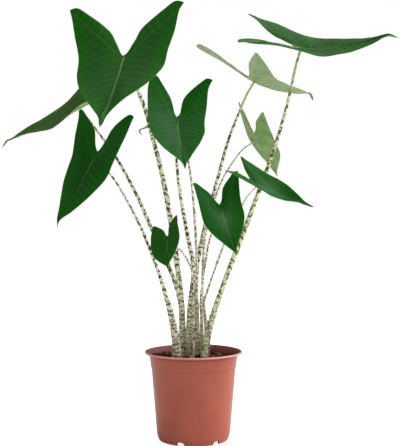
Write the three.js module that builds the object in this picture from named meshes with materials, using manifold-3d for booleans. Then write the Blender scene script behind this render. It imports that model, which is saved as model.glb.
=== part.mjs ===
// Potted zebrina alocasia: a plastic nursery pot of soil with eleven arrow-shaped leaves on long stalks.
// Millimetres, +Z up. The origin is on the pot's axis, on the surface that the pot stands on.
import * as THREE from "three";
import { mergeVertices } from "three/addons/utils/BufferGeometryUtils.js";
import Module from "manifold-3d";

// Driving dimensions of the pot
const POT = {
  height: 152,
  lipRadius: 85,
  lipInnerRadius: 80.5,
  lipHeight: 6,
  collarTopRadius: 76.5,
  collarBottomRadius: 74,
  collarBottom: 122,
  wallTopRadius: 73,
  wallBottomRadius: 63.5,
  chamferHeight: 10,
  footRadius: 60.5,
  footHeight: 7,
  footWidth: 2.6,
  centreFootRadius: 15,
  wall: 1.6,
  floor: 2.5,
  sides: 48,
};
const DRAIN_NOTCH = { count: 6, width: 13, height: 6.7, firstAngle: -20.5 };
const DRAIN_HOLE = { count: 6, radius: 5, ringRadius: 38 };

// The soil, and how deep the stalks stand in it
const SOIL = { top: 140.5, mound: 1.5, relief: 1.2, rings: 5, sides: 40 };
const STALK_FOOT = 114;

// Thickness of a leaf blade, and the clearance kept between pieces that meet
const BLADE_THICKNESS = 0.8;
const CLEARANCE = 0.3;

// Mesh fineness of the leaves and stalks
const BLADE_MESH = { rings: [0.28, 0.55, 0.8, 1] };
// Places along a blade's outer edge, from the tip to the lobe's end, and on along its inner edge
const OUTER_STEPS = [0, 1, 2, 3, 4, 5, 5.5, 6, 6.5, 7, 7.5, 8, 8.5, 9, 9.5, 10, 11].map((k) => k / 11);
const INNER_STEPS = [0.025, 0.12, 0.32, 0.52, 0.68, 0.84, 1];
const STALK_MESH = { sides: 8, steps: 18 };

// Radius of a stalk between its foot and its top falls off with this power of the way still to go
const TAPER = 1;

// The widening of a stalk's foot fades out over this height
const FLARE_HEIGHT = 190;

// The narrow drip tip hooks down over this share of the blade's length
const HOOK = { from: 0.86, over: 0.07, steps: 48 };

// A leaf is drawn tip up with its upper side to the viewer, so its right half has u > 0. at is the point
// where the stalk meets the blade. heading, pitch and roll turn the midrib: heading 0 points along +X and
// 90 along +Y, and a negative pitch points the tip down. half, lobe, spread, ear and bulge hold the right
// and the left side: half is the widest half width, lobe the length of the basal lobe and spread its angle
// off the midrib's line. ear is how far the lobe's end points outwards and bulge how round its inner edge
// is, as shares of its length. droop and lobeDroop bend the blade and the lobes down along their length,
// fold and lobeFold lift the halves off flat, camber rounds them over again, and twist turns the tip about
// the midrib. hook is how far the narrow tip bends down beyond the droop. flare widens the stalk's foot by
// so many mm. Angles are in degrees.
const LEAVES = [
  {
    name: "1", at: [-117.5, -53, 650.5], heading: -96, pitch: -44.5, roll: -6,
    length: 216.5, half: [78, 81], lobe: [150.5, 146], spread: [42, 43], sinus: 4,
    ear: [0.01, 0.04], bulge: [0.14, 0.16], droop: -16, hook: 24.5, lobeDroop: -44,
    fold: 8.5, lobeFold: 15, camber: 0.09, twist: -6, wave: 2.2,
    stalk: [6.3, 2.8], flare: 0.2,
    path: [
      [-20.4, 1, STALK_FOOT], [-20.4, 0, 223], [-30.4, -5, 319], [-45.2, -12, 412], [-58.4, -20, 477],
      [-67.6, -26, 512], [-80.4, -36, 562], [-92.2, -46, 595],
    ],
  },
  {
    name: "2", at: [-199, 10, 575], heading: 158, pitch: -22, roll: 37.5,
    length: 176, half: [63.5, 66.5], lobe: [137, 137], spread: [28, 28], sinus: 21,
    ear: [0.01, 0.01], bulge: [0.14, 0.14], droop: -7.5, hook: 36, lobeDroop: 11,
    fold: 8.5, lobeFold: 30, camber: 0.03, twist: -14.5, wave: 1.5,
    stalk: [5.6, 1.7], flare: 0.3,
    path: [
      [-15, 15.5, STALK_FOOT], [-17, 15, 166], [-21, 14, 221], [-28.3, 13, 256], [-41.4, 12, 293],
      [-75, 12, 367.5], [-99, 11, 422], [-136.4, 11, 490], [-173, 10, 541],
    ],
  },
  {
    name: "3", at: [-27, -30, 541], heading: -83, pitch: -42, roll: 4.5,
    length: 143.5, half: [54, 47.5], lobe: [111.5, 116], spread: [28.5, 30.5], sinus: 21.5,
    ear: [-0.06, 0.05], bulge: [0.11, 0.16], droop: -16, hook: 9, lobeDroop: -50,
    fold: 15.5, lobeFold: 18, camber: 0.07, twist: -9, wave: 1.2,
    stalk: [4.9, 2.1], flare: 2.1,
    path: [
      [-6.4, -3, STALK_FOOT], [-6.6, -8, 216], [-0.4, -14, 300], [-8.8, -17, 346], [-20.6, -20, 411],
      [-28.3, -24, 477],
    ],
  },
  {
    name: "4", at: [-161.5, -100, 477.5], heading: -141, pitch: -60.5, roll: 19.5,
    length: 133.5, half: [45, 46.5], lobe: [103, 101.5], spread: [40, 39.5], sinus: 15,
    ear: [0.01, 0.03], bulge: [0.14, 0.16], droop: -10, hook: 32, lobeDroop: -24.5,
    fold: 6.5, lobeFold: 21.5, camber: 0.15, twist: 5, wave: 1.2,
    stalk: [4.6, 1.3], flare: 4.2,
    path: [
      [-27.6, -13.5, STALK_FOOT], [-31.2, -18.5, 180], [-49.4, -35, 260], [-83, -61, 357],
      [-111.3, -78, 415], [-135, -90, 453],
    ],
  },
  {
    name: "5", at: [-42, -95, 344], heading: -87, pitch: -35, roll: -36,
    length: 74, half: [30.5, 27.5], lobe: [58, 56.5], spread: [27, 26.5], sinus: 15.5,
    ear: [0, 0.01], bulge: [0.12, 0.14], droop: -1, hook: 3.5, lobeDroop: -0.5,
    fold: 8, lobeFold: 21, camber: 0.11, twist: -3, wave: 0.8,
    stalk: [2.9, 1], flare: 0.4,
    path: [
      [-1, -14, STALK_FOOT], [0, -15, 196], [-1, -20, 256], [-3.5, -30, 295], [-7, -42, 305],
      [-14, -58, 319], [-23, -74, 331],
    ],
  },
  {
    name: "6", at: [47.5, -90, 392], heading: -74.5, pitch: -42, roll: -19,
    length: 105.5, half: [36.5, 35.5], lobe: [73.5, 83], spread: [32, 37], sinus: 18,
    ear: [0.02, 0], bulge: [0.13, 0.15], droop: -1.5, hook: -2, lobeDroop: -16,
    fold: 9, lobeFold: 29.5, camber: 0.07, twist: -4, wave: 1,
    stalk: [2.8, 1.4], flare: 0.3,
    path: [
      [17, 0.8, STALK_FOOT], [15.5, -2, 176], [12.8, -14, 241], [16, -26, 277], [20, -36, 303],
      [29, -66, 352],
    ],
  },
  {
    name: "7", at: [111.5, 90, 635], heading: 43, pitch: -13, roll: -12.5,
    length: 170.5, half: [58.5, 54.5], lobe: [139.5, 135.5], spread: [47, 41.5], sinus: 18,
    ear: [0.01, -0.02], bulge: [0.07, 0.18], droop: -23.5, hook: 58, lobeDroop: -22.5,
    fold: 23.5, lobeFold: 32, camber: 0.23, twist: -1, wave: 1.4,
    stalk: [5.1, 1.9], flare: 0.3,
    path: [
      [4, 12.5, STALK_FOOT], [4.3, 17, 206], [6, 22, 295], [19.2, 34, 364], [36, 46, 428],
      [61.7, 65, 521], [71, 71, 547], [84, 79, 579], [95.8, 85, 607],
    ],
  },
  {
    name: "8", at: [118.5, 110, 529.5], heading: 56.5, pitch: -40, roll: -22,
    length: 101.5, half: [42, 39], lobe: [83.5, 81], spread: [31.5, 32.5], sinus: 16.5,
    ear: [0.02, 0.02], bulge: [0.09, 0.15], droop: -2.5, hook: 18, lobeDroop: -20,
    fold: 17.5, lobeFold: 19.5, camber: 0.1, twist: 15, wave: 1,
    stalk: [3.6, 1.2], flare: 0.2,
    path: [
      [14.5, 12, STALK_FOOT], [15, 31, 242], [22, 61, 359], [41, 81, 425], [56, 92, 461],
      [78, 103, 495], [92, 108, 512],
    ],
  },
  {
    name: "9", at: [109, -60, 438.5], heading: -5.5, pitch: -31, roll: -29.5,
    length: 100, half: [34, 35.5], lobe: [70, 69], spread: [40, 40.5], sinus: 17,
    ear: [0.01, 0], bulge: [0.13, 0.04], droop: -22.5, hook: 19.5, lobeDroop: 2.5,
    fold: 25.5, lobeFold: 22, camber: 0.1, twist: -11.5, wave: 1,
    stalk: [3.5, 0.9], flare: 0.2,
    path: [
      [23, 6, STALK_FOOT], [22.6, 6, 161], [20.5, 0, 208], [18.4, -5, 237], [22.6, -7.5, 252],
      [29.6, -10.5, 273], [42, -17, 309], [50.7, -25, 333], [86, -46, 411], [94.6, -50, 423],
    ],
  },
  {
    name: "10", at: [-20, 30, 552], heading: 165, pitch: 8, roll: 0,
    length: 92, half: [26, 26], lobe: [40, 40], spread: [32, 32], sinus: 9,
    ear: [0.01, 0.01], bulge: [0.14, 0.14], droop: 36, hook: 98, lobeDroop: 10,
    fold: 12, lobeFold: 15, camber: 0.05, twist: 0, wave: 0.8,
    stalk: [3.1, 1.5], flare: 2,
    path: [
      [7.9, 1, STALK_FOOT], [6.3, 3, 216], [5, 5, 328], [-2, 18, 431], [-8, 24, 476], [-15, 28, 520],
    ],
  },
  {
    name: "11", at: [186, -10, 676.5], heading: -4, pitch: -3.5, roll: -31,
    length: 168.5, half: [50, 46], lobe: [145.5, 139], spread: [39.5, 45], sinus: 7,
    ear: [0.08, 0.01], bulge: [0.1, 0.14], droop: -26, hook: 34, lobeDroop: -19.5,
    fold: 9, lobeFold: 32.5, camber: 0.16, twist: -2, wave: 1.6,
    stalk: [6, 2.2], flare: 1.4,
    path: [
      [18, -11, STALK_FOOT], [19.3, -11, 151], [26.6, -11, 189], [47, -11, 255], [92.4, -11, 374],
      [136, -10, 493], [155.6, -10, 555], [168.3, -10, 606], [177, -10, 646],
    ],
  },
];

// Dry papery sheaths at the foot of the stalks: a centre line, and the widths at the foot and at the top
const SHEATHS = [
  {
    name: "sheath_left", width: [9, 1.6], curl: 0.05,
    path: [[-3, -19.5, STALK_FOOT], [-2, -20.5, 156], [3, -21, 186], [6, -21, 205], [10, -20, 236]],
  },
  {
    name: "sheath_right", width: [4.5, 1.4], curl: 0.02,
    path: [[25, -20.5, STALK_FOOT], [26.5, -21, 156], [28, -20, 174], [26, -19.5, 196], [19.5, -20, 218]],
  },
];
const SHEATH_THICKNESS = 0.8;

const terracottaPlastic = new THREE.MeshStandardMaterial({ color: 0xb06a52, roughness: 0.5, metalness: 0 });
const pottingSoil = new THREE.MeshStandardMaterial({ color: 0x2a1f19, roughness: 0.95, metalness: 0 });
const leafGreen = new THREE.MeshStandardMaterial({ color: 0x1c5a26, roughness: 0.4, metalness: 0 });
const zebraStalk = new THREE.MeshStandardMaterial({ color: 0xcfd0a0, roughness: 0.5, metalness: 0 });
const drySheath = new THREE.MeshStandardMaterial({ color: 0xa0877c, roughness: 0.8, metalness: 0 });

const wasm = await Module();
wasm.setup();

// A closed geometry as a solid that can be cut and joined
function solidOf(geometry) {
  const bare = new THREE.BufferGeometry();
  bare.setAttribute("position", geometry.getAttribute("position"));
  if (geometry.index) bare.setIndex(geometry.index);
  const merged = mergeVertices(bare, 1e-3);
  const vertProperties = new Float32Array(merged.getAttribute("position").array);
  const triVerts = new Uint32Array(merged.index.array);
  return new wasm.Manifold(new wasm.Mesh({ numProp: 3, vertProperties, triVerts }));
}

// A solid back as a geometry
function geometryOf(solid) {
  const mesh = solid.getMesh();
  const geometry = new THREE.BufferGeometry();
  geometry.setAttribute("position", new THREE.BufferAttribute(mesh.vertProperties, 3));
  geometry.setIndex(new THREE.BufferAttribute(mesh.triVerts, 1));
  return geometry;
}

const radians = THREE.MathUtils.degToRad;
const smooth = (x) => THREE.MathUtils.smoothstep(x, 0, 1);

// The pot's section, from the centre of its underside round the outside and back down the inside
function potProfile() {
  const p = POT;
  const lipBottom = p.height - p.lipHeight;
  const innerTop = p.collarTopRadius - p.wall;
  const floorTop = p.footHeight + p.floor;
  return [
    [0, 0],
    [p.centreFootRadius, 0],
    [p.centreFootRadius, p.footHeight],
    [p.footRadius - p.footWidth, p.footHeight],
    [p.footRadius - p.footWidth, 0],
    [p.footRadius, 0],
    [p.wallBottomRadius, p.chamferHeight],
    [p.wallTopRadius, p.collarBottom - 2],
    [p.collarBottomRadius, p.collarBottom],
    [p.collarTopRadius, lipBottom - 1],
    [p.lipInnerRadius, lipBottom + 1],
    [p.lipRadius - 0.8, p.height - 3.4],
    [p.lipRadius, p.height - 2.2],
    [p.lipRadius - 0.8, p.height - 0.6],
    [p.lipRadius - 2.4, p.height],
    [p.lipInnerRadius, p.height - 1],
    [innerTop, lipBottom - 3],
    [p.collarBottomRadius - p.wall, p.collarBottom],
    [p.wallTopRadius - p.wall, p.collarBottom - 2],
    [p.wallBottomRadius - p.wall, p.chamferHeight],
    [p.footRadius - p.wall, floorTop],
    [0, floorTop],
  ].map(([r, z]) => new THREE.Vector2(r, z));
}

// A lathe about Z: LatheGeometry turns about Y, so the result is stood up
function turned(profile, sides) {
  return new THREE.LatheGeometry(profile, sides).rotateX(Math.PI / 2);
}

// An arched drain notch through the foot ring, cut from the front and turned to its angle
function drainNotch(angle) {
  const { width, height } = DRAIN_NOTCH;
  const arch = new THREE.Shape();
  const shoulder = height * 0.45;
  arch.moveTo(-width / 2, -1);
  arch.lineTo(width / 2, -1);
  arch.lineTo(width / 2, shoulder);
  arch.quadraticCurveTo(width / 2, height, 0, height);
  arch.quadraticCurveTo(-width / 2, height, -width / 2, shoulder);
  const depth = POT.footWidth + 1.4;
  const cut = new THREE.ExtrudeGeometry(arch, { depth: depth + 4, bevelEnabled: false, curveSegments: 4 });
  // The extrusion runs along Z, so it is laid along -Y, outwards from inside the foot ring.
  cut.rotateX(Math.PI / 2).translate(0, -(POT.footRadius - depth), 0);
  return cut.rotateZ(radians(angle));
}

function potGeometry() {
  let pot = solidOf(turned(potProfile(), POT.sides));
  for (let i = 0; i < DRAIN_NOTCH.count; i++) {
    const angle = DRAIN_NOTCH.firstAngle + (360 / DRAIN_NOTCH.count) * i;
    pot = pot.subtract(solidOf(drainNotch(angle)));
  }
  for (let i = 0; i < DRAIN_HOLE.count; i++) {
    const { radius, ringRadius } = DRAIN_HOLE;
    const angle = radians((360 / DRAIN_HOLE.count) * i);
    const hole = new THREE.CylinderGeometry(radius, radius, 12, 10).rotateX(Math.PI / 2);
    hole.translate(ringRadius * Math.cos(angle), ringRadius * Math.sin(angle), POT.footHeight + 1);
    pot = pot.subtract(solidOf(hole));
  }
  return geometryOf(pot);
}

// The soil's surface: a low mound with lumps, flat at the wall
function soilHeight(x, y, radius) {
  const away = Math.hypot(x, y) / radius;
  const lumps = Math.sin(0.13 * x + 0.9) * Math.cos(0.11 * y - 0.4) + 0.6 * Math.sin(0.23 * (x + y));
  return SOIL.top + SOIL.mound * (1 - away * away) + SOIL.relief * lumps * (1 - away ** 4);
}

// The soil fills the pot from its floor up. Its body is a lathe whose top rings follow the surface.
function soilGeometry(stalks) {
  const floorTop = POT.footHeight + POT.floor + CLEARANCE;
  const wallAt = (z) => {
    const up = (z - POT.chamferHeight) / (POT.collarBottom - 2 - POT.chamferHeight);
    const inner = POT.wall + 2 * CLEARANCE;
    if (up > 1) return POT.collarBottomRadius - inner;
    return THREE.MathUtils.lerp(POT.wallBottomRadius, POT.wallTopRadius, Math.max(up, 0)) - inner;
  };
  const topRadius = wallAt(SOIL.top);
  const profile = [
    [0, floorTop],
    [POT.footRadius - POT.wall - 2 * CLEARANCE, floorTop],
    [wallAt(POT.chamferHeight), POT.chamferHeight + CLEARANCE],
    [wallAt(POT.collarBottom - 3), POT.collarBottom - 3],
    [topRadius, POT.collarBottom + 1],
    [topRadius, SOIL.top],
  ];
  for (let i = SOIL.rings - 1; i >= 0; i--) profile.push([(topRadius * i) / SOIL.rings, SOIL.top]);
  const body = turned(profile.map(([r, z]) => new THREE.Vector2(r, z)), SOIL.sides);
  const at = body.getAttribute("position");
  for (let i = 0; i < at.count; i++) {
    if (at.getZ(i) > SOIL.top - 0.01) at.setZ(i, soilHeight(at.getX(i), at.getY(i), topRadius));
  }
  return stalks.reduce((soil, stalk) => soil.subtract(stalk), solidOf(body));
}

// Points of one side's outline, from the tip round the lobe to the sinus, as [u, v, q] with u > 0.
// q is the share of the way: 0 at the tip, 0.75 at the lobe's end and 1 at the sinus.
function sideOutline(leaf, side) {
  const half = leaf.half[side];
  const lobe = leaf.lobe[side];
  const spread = radians(leaf.spread[side]);
  const { length, sinus } = leaf;
  const back = lobe * Math.cos(spread);
  const out = lobe * Math.sin(spread);
  const end = out + leaf.ear[side] * lobe;
  const edge = new THREE.CatmullRomCurve3(
    [
      [0, length],
      [0.028 * half, 0.965 * length],
      [0.06 * half, 0.91 * length],
      [0.14 * half, 0.84 * length],
      [0.25 * half, 0.765 * length],
      [0.46 * half, 0.63 * length],
      [0.74 * half, 0.43 * length],
      [0.94 * half, 0.21 * length],
      [half, 0],
      [half + 0.42 * (out - half) + 0.02 * lobe, -0.46 * back],
      [half + 0.82 * (out - half) + 0.01 * lobe, -0.84 * back],
      [end, -back],
    ].map(([u, v]) => new THREE.Vector3(u, v, 0)),
    false,
    "centripetal",
  );
  const points = OUTER_STEPS.map((t) => [edge.getPoint(t).x, edge.getPoint(t).y, 0.75 * t]);
  // The lobe's inner edge bulges off a straight run to the sinus, most of all near the lobe's end.
  const chord = Math.hypot(end, back - sinus);
  const along = [-end / chord, (back - sinus) / chord];
  for (const t of INNER_STEPS) {
    const rise = 0.7 * (1 - Math.exp(-t / 0.028)) + 0.3 * smooth(t / 0.5);
    const bulge = leaf.bulge[side] * chord * rise * (1 - smooth((t - 0.54) / 0.42));
    const u = end * (1 - t) - along[1] * bulge;
    const v = -back + (back - sinus) * t + along[0] * bulge;
    points.push([u, v, 0.75 + 0.25 * t]);
  }
  return points;
}

function outline(leaf) {
  const right = sideOutline(leaf, 0).map(([u, v, q]) => [u, v, Math.PI * q]);
  const left = sideOutline(leaf, 1).map(([u, v, q]) => [-u, v, -Math.PI * q]);
  return [...right, ...left.slice(1, -1).reverse()];
}

// The leaf's own axes: across the blade, along the midrib and off the upper side
function leafAxes(leaf) {
  const heading = radians(leaf.heading);
  const pitch = radians(leaf.pitch);
  const roll = radians(leaf.roll);
  const along = new THREE.Vector3(Math.cos(heading), Math.sin(heading), 0).multiplyScalar(Math.cos(pitch));
  along.z = Math.sin(pitch);
  const level = new THREE.Vector3(Math.sin(heading), -Math.cos(heading), 0);
  const up = new THREE.Vector3().crossVectors(level, along);
  const across = level.multiplyScalar(Math.cos(roll)).addScaledVector(up, Math.sin(roll));
  const off = new THREE.Vector3().crossVectors(across, along);
  return { across, along, off };
}

// The midrib at v along the flat blade: its bend, and where it lies along and off the leaf's own axes.
// In front of the stalk the bend grows steadily to the droop and then quickly by the hook, so the place is
// summed up in short steps. Behind the stalk the lobes follow a plain arc.
function midribAt(leaf, v) {
  if (v < 0) {
    const lobeLength = (leaf.lobe[0] + leaf.lobe[1]) / 2;
    const perMm = radians(leaf.lobeDroop) / lobeLength || 1e-6;
    const bend = perMm * v;
    return { bend, along: Math.sin(bend) / perMm, off: (Math.cos(bend) - 1) / perMm };
  }
  const bendAt = (s) =>
    radians((leaf.droop * s) / leaf.length + leaf.hook * smooth((s / leaf.length - HOOK.from) / HOOK.over));
  const step = v / HOOK.steps;
  let along = 0;
  let off = 0;
  for (let k = 0; k < HOOK.steps; k++) {
    along += step * Math.cos(bendAt(step * (k + 0.5)));
    off -= step * Math.sin(bendAt(step * (k + 0.5)));
  }
  return { bend: bendAt(v), along, off };
}

// Where a point [u, v] of the flat blade lies in space, with its place from stalk (0) to edge (1)
function bladePoint(leaf, axes, [u, v], place, turn) {
  const halfWidth = (leaf.half[0] + leaf.half[1]) / 2;
  const { bend, along, off } = midribAt(leaf, v);
  const fold = radians(THREE.MathUtils.lerp(leaf.lobeFold, leaf.fold, smooth(v / leaf.length / 0.6 + 0.5)));
  const twist = (radians(leaf.twist) * v) / leaf.length;
  const wave = leaf.wave * place ** 3 * Math.sin(6 * turn + Number(leaf.name));
  const rise = Math.abs(u) * Math.sin(fold) - (leaf.camber * u * u) / halfWidth + wave;
  const side = u * Math.cos(fold);
  const lateral = side * Math.cos(twist) - rise * Math.sin(twist);
  const height = side * Math.sin(twist) + rise * Math.cos(twist);
  return new THREE.Vector3(...leaf.at)
    .addScaledVector(axes.across, lateral)
    .addScaledVector(axes.along, along + height * Math.sin(bend))
    .addScaledVector(axes.off, off + height * Math.cos(bend));
}

// A blade is rings of points round the stalk's end, given thickness along the surface's own normals.
// Both faces have the same triangles, so they never cross where the blade waves.
function bladeGeometry(leaf) {
  const axes = leafAxes(leaf);
  const rim = outline(leaf);
  const count = rim.length;
  const middle = [bladePoint(leaf, axes, [0, 0], 0, 0)];
  for (const ring of BLADE_MESH.rings) {
    for (const [u, v, turn] of rim) middle.push(bladePoint(leaf, axes, [u * ring, v * ring], ring, turn));
  }
  const faces = [];
  const at = (ring, i) => 1 + ring * count + (i % count);
  for (let i = 0; i < count; i++) faces.push([0, at(0, i + 1), at(0, i)]);
  for (let ring = 0; ring < BLADE_MESH.rings.length - 1; ring++) {
    for (let i = 0; i < count; i++) {
      faces.push([at(ring, i), at(ring, i + 1), at(ring + 1, i + 1)]);
      faces.push([at(ring, i), at(ring + 1, i + 1), at(ring + 1, i)]);
    }
  }
  const sheet = new THREE.BufferGeometry().setFromPoints(middle);
  sheet.setIndex(faces.flat());
  sheet.computeVertexNormals();
  const normal = sheet.getAttribute("normal");
  const shifted = (by) =>
    middle.map((p, i) => new THREE.Vector3().fromBufferAttribute(normal, i).multiplyScalar(by).add(p));
  const points = [...shifted(BLADE_THICKNESS / 2), ...shifted(-BLADE_THICKNESS / 2)];
  const under = middle.length;
  const index = faces.flatMap(([a, b, c]) => [a, b, c, under + a, under + c, under + b]);
  const last = BLADE_MESH.rings.length - 1;
  for (let i = 0; i < count; i++) {
    const [a, b] = [at(last, i), at(last, i + 1)];
    index.push(a, b, under + b, a, under + b, under + a);
  }
  const geometry = new THREE.BufferGeometry().setFromPoints(points);
  geometry.setIndex(index);
  return geometry;
}

// The end of a stalk: just under the blade, set off it by what the tilted end of the stalk needs
function stalkEnd(leaf, radius) {
  const { off } = leafAxes(leaf);
  const at = new THREE.Vector3(...leaf.at);
  const from = new THREE.Vector3(...leaf.path.at(-1));
  const into = at.clone().sub(from).normalize();
  const tilt = Math.sqrt(1 - into.dot(off) ** 2);
  return at.addScaledVector(off, -(BLADE_THICKNESS / 2 + CLEARANCE + radius * tilt));
}

// A stalk: a closed cylinder bent along its path and tapered, fattened by a margin where it cuts its hole
function stalkGeometry(leaf, margin = 0) {
  const [footRadius, topRadius] = leaf.stalk;
  const path = leaf.path.map((p) => new THREE.Vector3(...p));
  path.push(stalkEnd(leaf, topRadius));
  path[0].z -= margin;
  const curve = new THREE.CatmullRomCurve3(path, false, "centripetal");
  const { sides, steps } = STALK_MESH;
  const frames = curve.computeFrenetFrames(steps, false);
  const tube = new THREE.CylinderGeometry(1, 1, 1, sides, steps);
  const at = tube.getAttribute("position");
  for (let i = 0; i < at.count; i++) {
    const step = Math.round((at.getY(i) + 0.5) * steps);
    const point = curve.getPointAt(step / steps);
    const flare = leaf.flare * (1 - smooth((point.z - STALK_FOOT) / FLARE_HEIGHT));
    const radius = topRadius + (footRadius - topRadius) * (1 - step / steps) ** TAPER + flare + margin;
    point
      .addScaledVector(frames.normals[step], radius * at.getX(i))
      .addScaledVector(frames.binormals[step], -radius * at.getZ(i));
    at.setXYZ(i, point.x, point.y, point.z);
  }
  return tube;
}

// A dry sheath: a thin strip bent along its path, wide at the foot, narrow at the top and curled back
function sheathGeometry(sheath, margin = 0) {
  const path = sheath.path.map((p) => new THREE.Vector3(...p));
  path[0].z -= margin;
  const curve = new THREE.CatmullRomCurve3(path, false, "centripetal");
  const steps = 10;
  const strip = new THREE.BoxGeometry(1, 1, 1, 4, steps, 1);
  const at = strip.getAttribute("position");
  for (let i = 0; i < at.count; i++) {
    const t = at.getY(i) + 0.5;
    const width = THREE.MathUtils.lerp(sheath.width[0], sheath.width[1], t) + 2 * margin;
    const across = at.getX(i) * width;
    const point = curve.getPointAt(t);
    point.x += across;
    point.y += sheath.curl * across * across - at.getZ(i) * (SHEATH_THICKNESS + 2 * margin);
    at.setXYZ(i, point.x, point.y, point.z);
  }
  return strip;
}

const plant = new THREE.Group();

function add(name, geometry, material) {
  const mesh = new THREE.Mesh(geometry, material);
  mesh.name = name;
  plant.add(mesh);
}

const holes = [
  ...LEAVES.map((leaf) => solidOf(stalkGeometry(leaf, CLEARANCE))),
  ...SHEATHS.map((sheath) => solidOf(sheathGeometry(sheath, CLEARANCE))),
];

add("pot", potGeometry(), terracottaPlastic);
add("soil", geometryOf(soilGeometry(holes)), pottingSoil);
for (const leaf of LEAVES) {
  add("blade_" + leaf.name, bladeGeometry(leaf), leafGreen);
  add("petiole_" + leaf.name, stalkGeometry(leaf), zebraStalk);
}
for (const sheath of SHEATHS) add(sheath.name, sheathGeometry(sheath), drySheath);

export default plant;
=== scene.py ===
# Potted zebrina alocasia: fine leaves, banded stalks, soil and pot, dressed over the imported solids.
import itertools
import math

import bpy
import numpy as np
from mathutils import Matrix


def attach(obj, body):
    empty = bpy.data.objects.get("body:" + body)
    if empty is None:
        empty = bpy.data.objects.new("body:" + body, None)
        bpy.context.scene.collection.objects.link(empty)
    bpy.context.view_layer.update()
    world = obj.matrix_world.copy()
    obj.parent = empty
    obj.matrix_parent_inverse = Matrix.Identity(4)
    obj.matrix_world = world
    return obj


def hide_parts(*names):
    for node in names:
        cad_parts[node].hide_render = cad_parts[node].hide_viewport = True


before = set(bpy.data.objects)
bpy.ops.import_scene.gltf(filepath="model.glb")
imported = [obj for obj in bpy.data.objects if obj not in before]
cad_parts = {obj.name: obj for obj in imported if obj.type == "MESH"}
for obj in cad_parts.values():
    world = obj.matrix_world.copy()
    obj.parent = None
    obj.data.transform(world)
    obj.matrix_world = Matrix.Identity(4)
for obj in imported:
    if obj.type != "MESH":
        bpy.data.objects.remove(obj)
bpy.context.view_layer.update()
mm = 0.001  # every shape below is worked out in millimetres and goes into its mesh in metres
print("frame loaded")


# The camera stands 1.5 m in front of the pot, level, at the middle of the plant's height.
# A lens of 69.58 mm on a 36 mm sensor gives 862 pixels a unit of slope in a picture 446 pixels high.
view = {"place": (0.0113, -1.5, 0.374), "lens": 69.58, "sensor": 36, "farthest": 50}

cameraData = bpy.data.cameras.new("camera")
cameraData.lens = view["lens"]
cameraData.sensor_width = view["sensor"]
cameraData.clip_end = view["farthest"]
camera = bpy.data.objects.new("camera", cameraData)
camera.location = view["place"]
camera.rotation_euler = (math.pi / 2, 0, 0)
bpy.context.collection.objects.link(camera)
bpy.context.scene.camera = camera


def linear(hexColour):
    # an sRGB colour such as #1c5a26 as the linear numbers that a shader takes
    c = np.array([int(hexColour[i:i + 2], 16) for i in (1, 3, 5)]) / 255
    c = np.where(c <= 0.04045, c / 12.92, ((c + 0.055) / 1.055) ** 2.4)
    return (*c.tolist(), 1.0)


def connect(tree, node, links):
    # gives inputs, by name or in order, a number, a vector, an sRGB colour or another node's output
    for name, value in links.items() if isinstance(links, dict) else enumerate(links):
        if isinstance(value, bpy.types.NodeSocket):
            tree.links.new(value, node.inputs[name])
        else:
            node.inputs[name].default_value = linear(value) if isinstance(value, str) else value


def addNode(tree, kind, settings, links, output=0):
    # a node with its settings and links, and the output of it that the next ones read
    node = tree.nodes.new("ShaderNode" + kind)
    for name, value in settings.items():
        setattr(node, name, value)
    connect(tree, node, links)
    return node.outputs[output]


# settings that many nodes share
softRamp = {"interpolation_type": "SMOOTHSTEP"}
colourMix = {"data_type": "RGBA"}
numberMix = {"data_type": "FLOAT"}
times = {"operation": "MULTIPLY"}
timesPlus = {"operation": "MULTIPLY_ADD"}
minus = {"operation": "SUBTRACT"}
sizeOf = {"operation": "ABSOLUTE"}
largest = {"operation": "MAXIMUM"}
dotProduct = {"operation": "DOT_PRODUCT"}
clampedSum = {"operation": "ADD", "use_clamp": True}


def layColours(tree, ground, layers):
    # lays colours over a ground one by one, each by its share at every point times its strength
    for share, strength, colour in layers:
        share = addNode(tree, "Math", times, (share, strength))
        ground = addNode(tree, "Mix", colourMix, {0: share, 6: ground, 7: colour}, 2)
    return ground


def newMaterial(name):
    material = bpy.data.materials.new(name)
    material.use_nodes = True
    tree = material.node_tree
    shader = next(node for node in tree.nodes if node.type == "BSDF_PRINCIPLED")
    return material, tree, shader


def smoothStep(x):
    x = np.clip(x, 0, 1)
    return x * x * (3 - 2 * x)


def softNoise(points, size, seed):
    # value noise from -1 to 1: random numbers on a lattice of the given spacing, blended smoothly
    p = np.asarray(points, float) / size
    cell = np.floor(p)
    part = smoothStep(p - cell)
    total = np.zeros(len(p))
    for corner in itertools.product((0, 1), repeat=3):
        h = np.sin((cell + corner) @ np.array([12.9898, 78.233, 37.719]) + seed * 4.137) * 43758.5453
        weight = np.prod(np.where(corner, part, 1 - part), axis=1)
        total += weight * (2 * (h - np.floor(h)) - 1)
    return total


def pointsAt(x, y, z):
    # points from their coordinates, which are arrays or one number for all
    return np.stack(np.broadcast_arrays(x, y, z), axis=-1)


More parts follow.
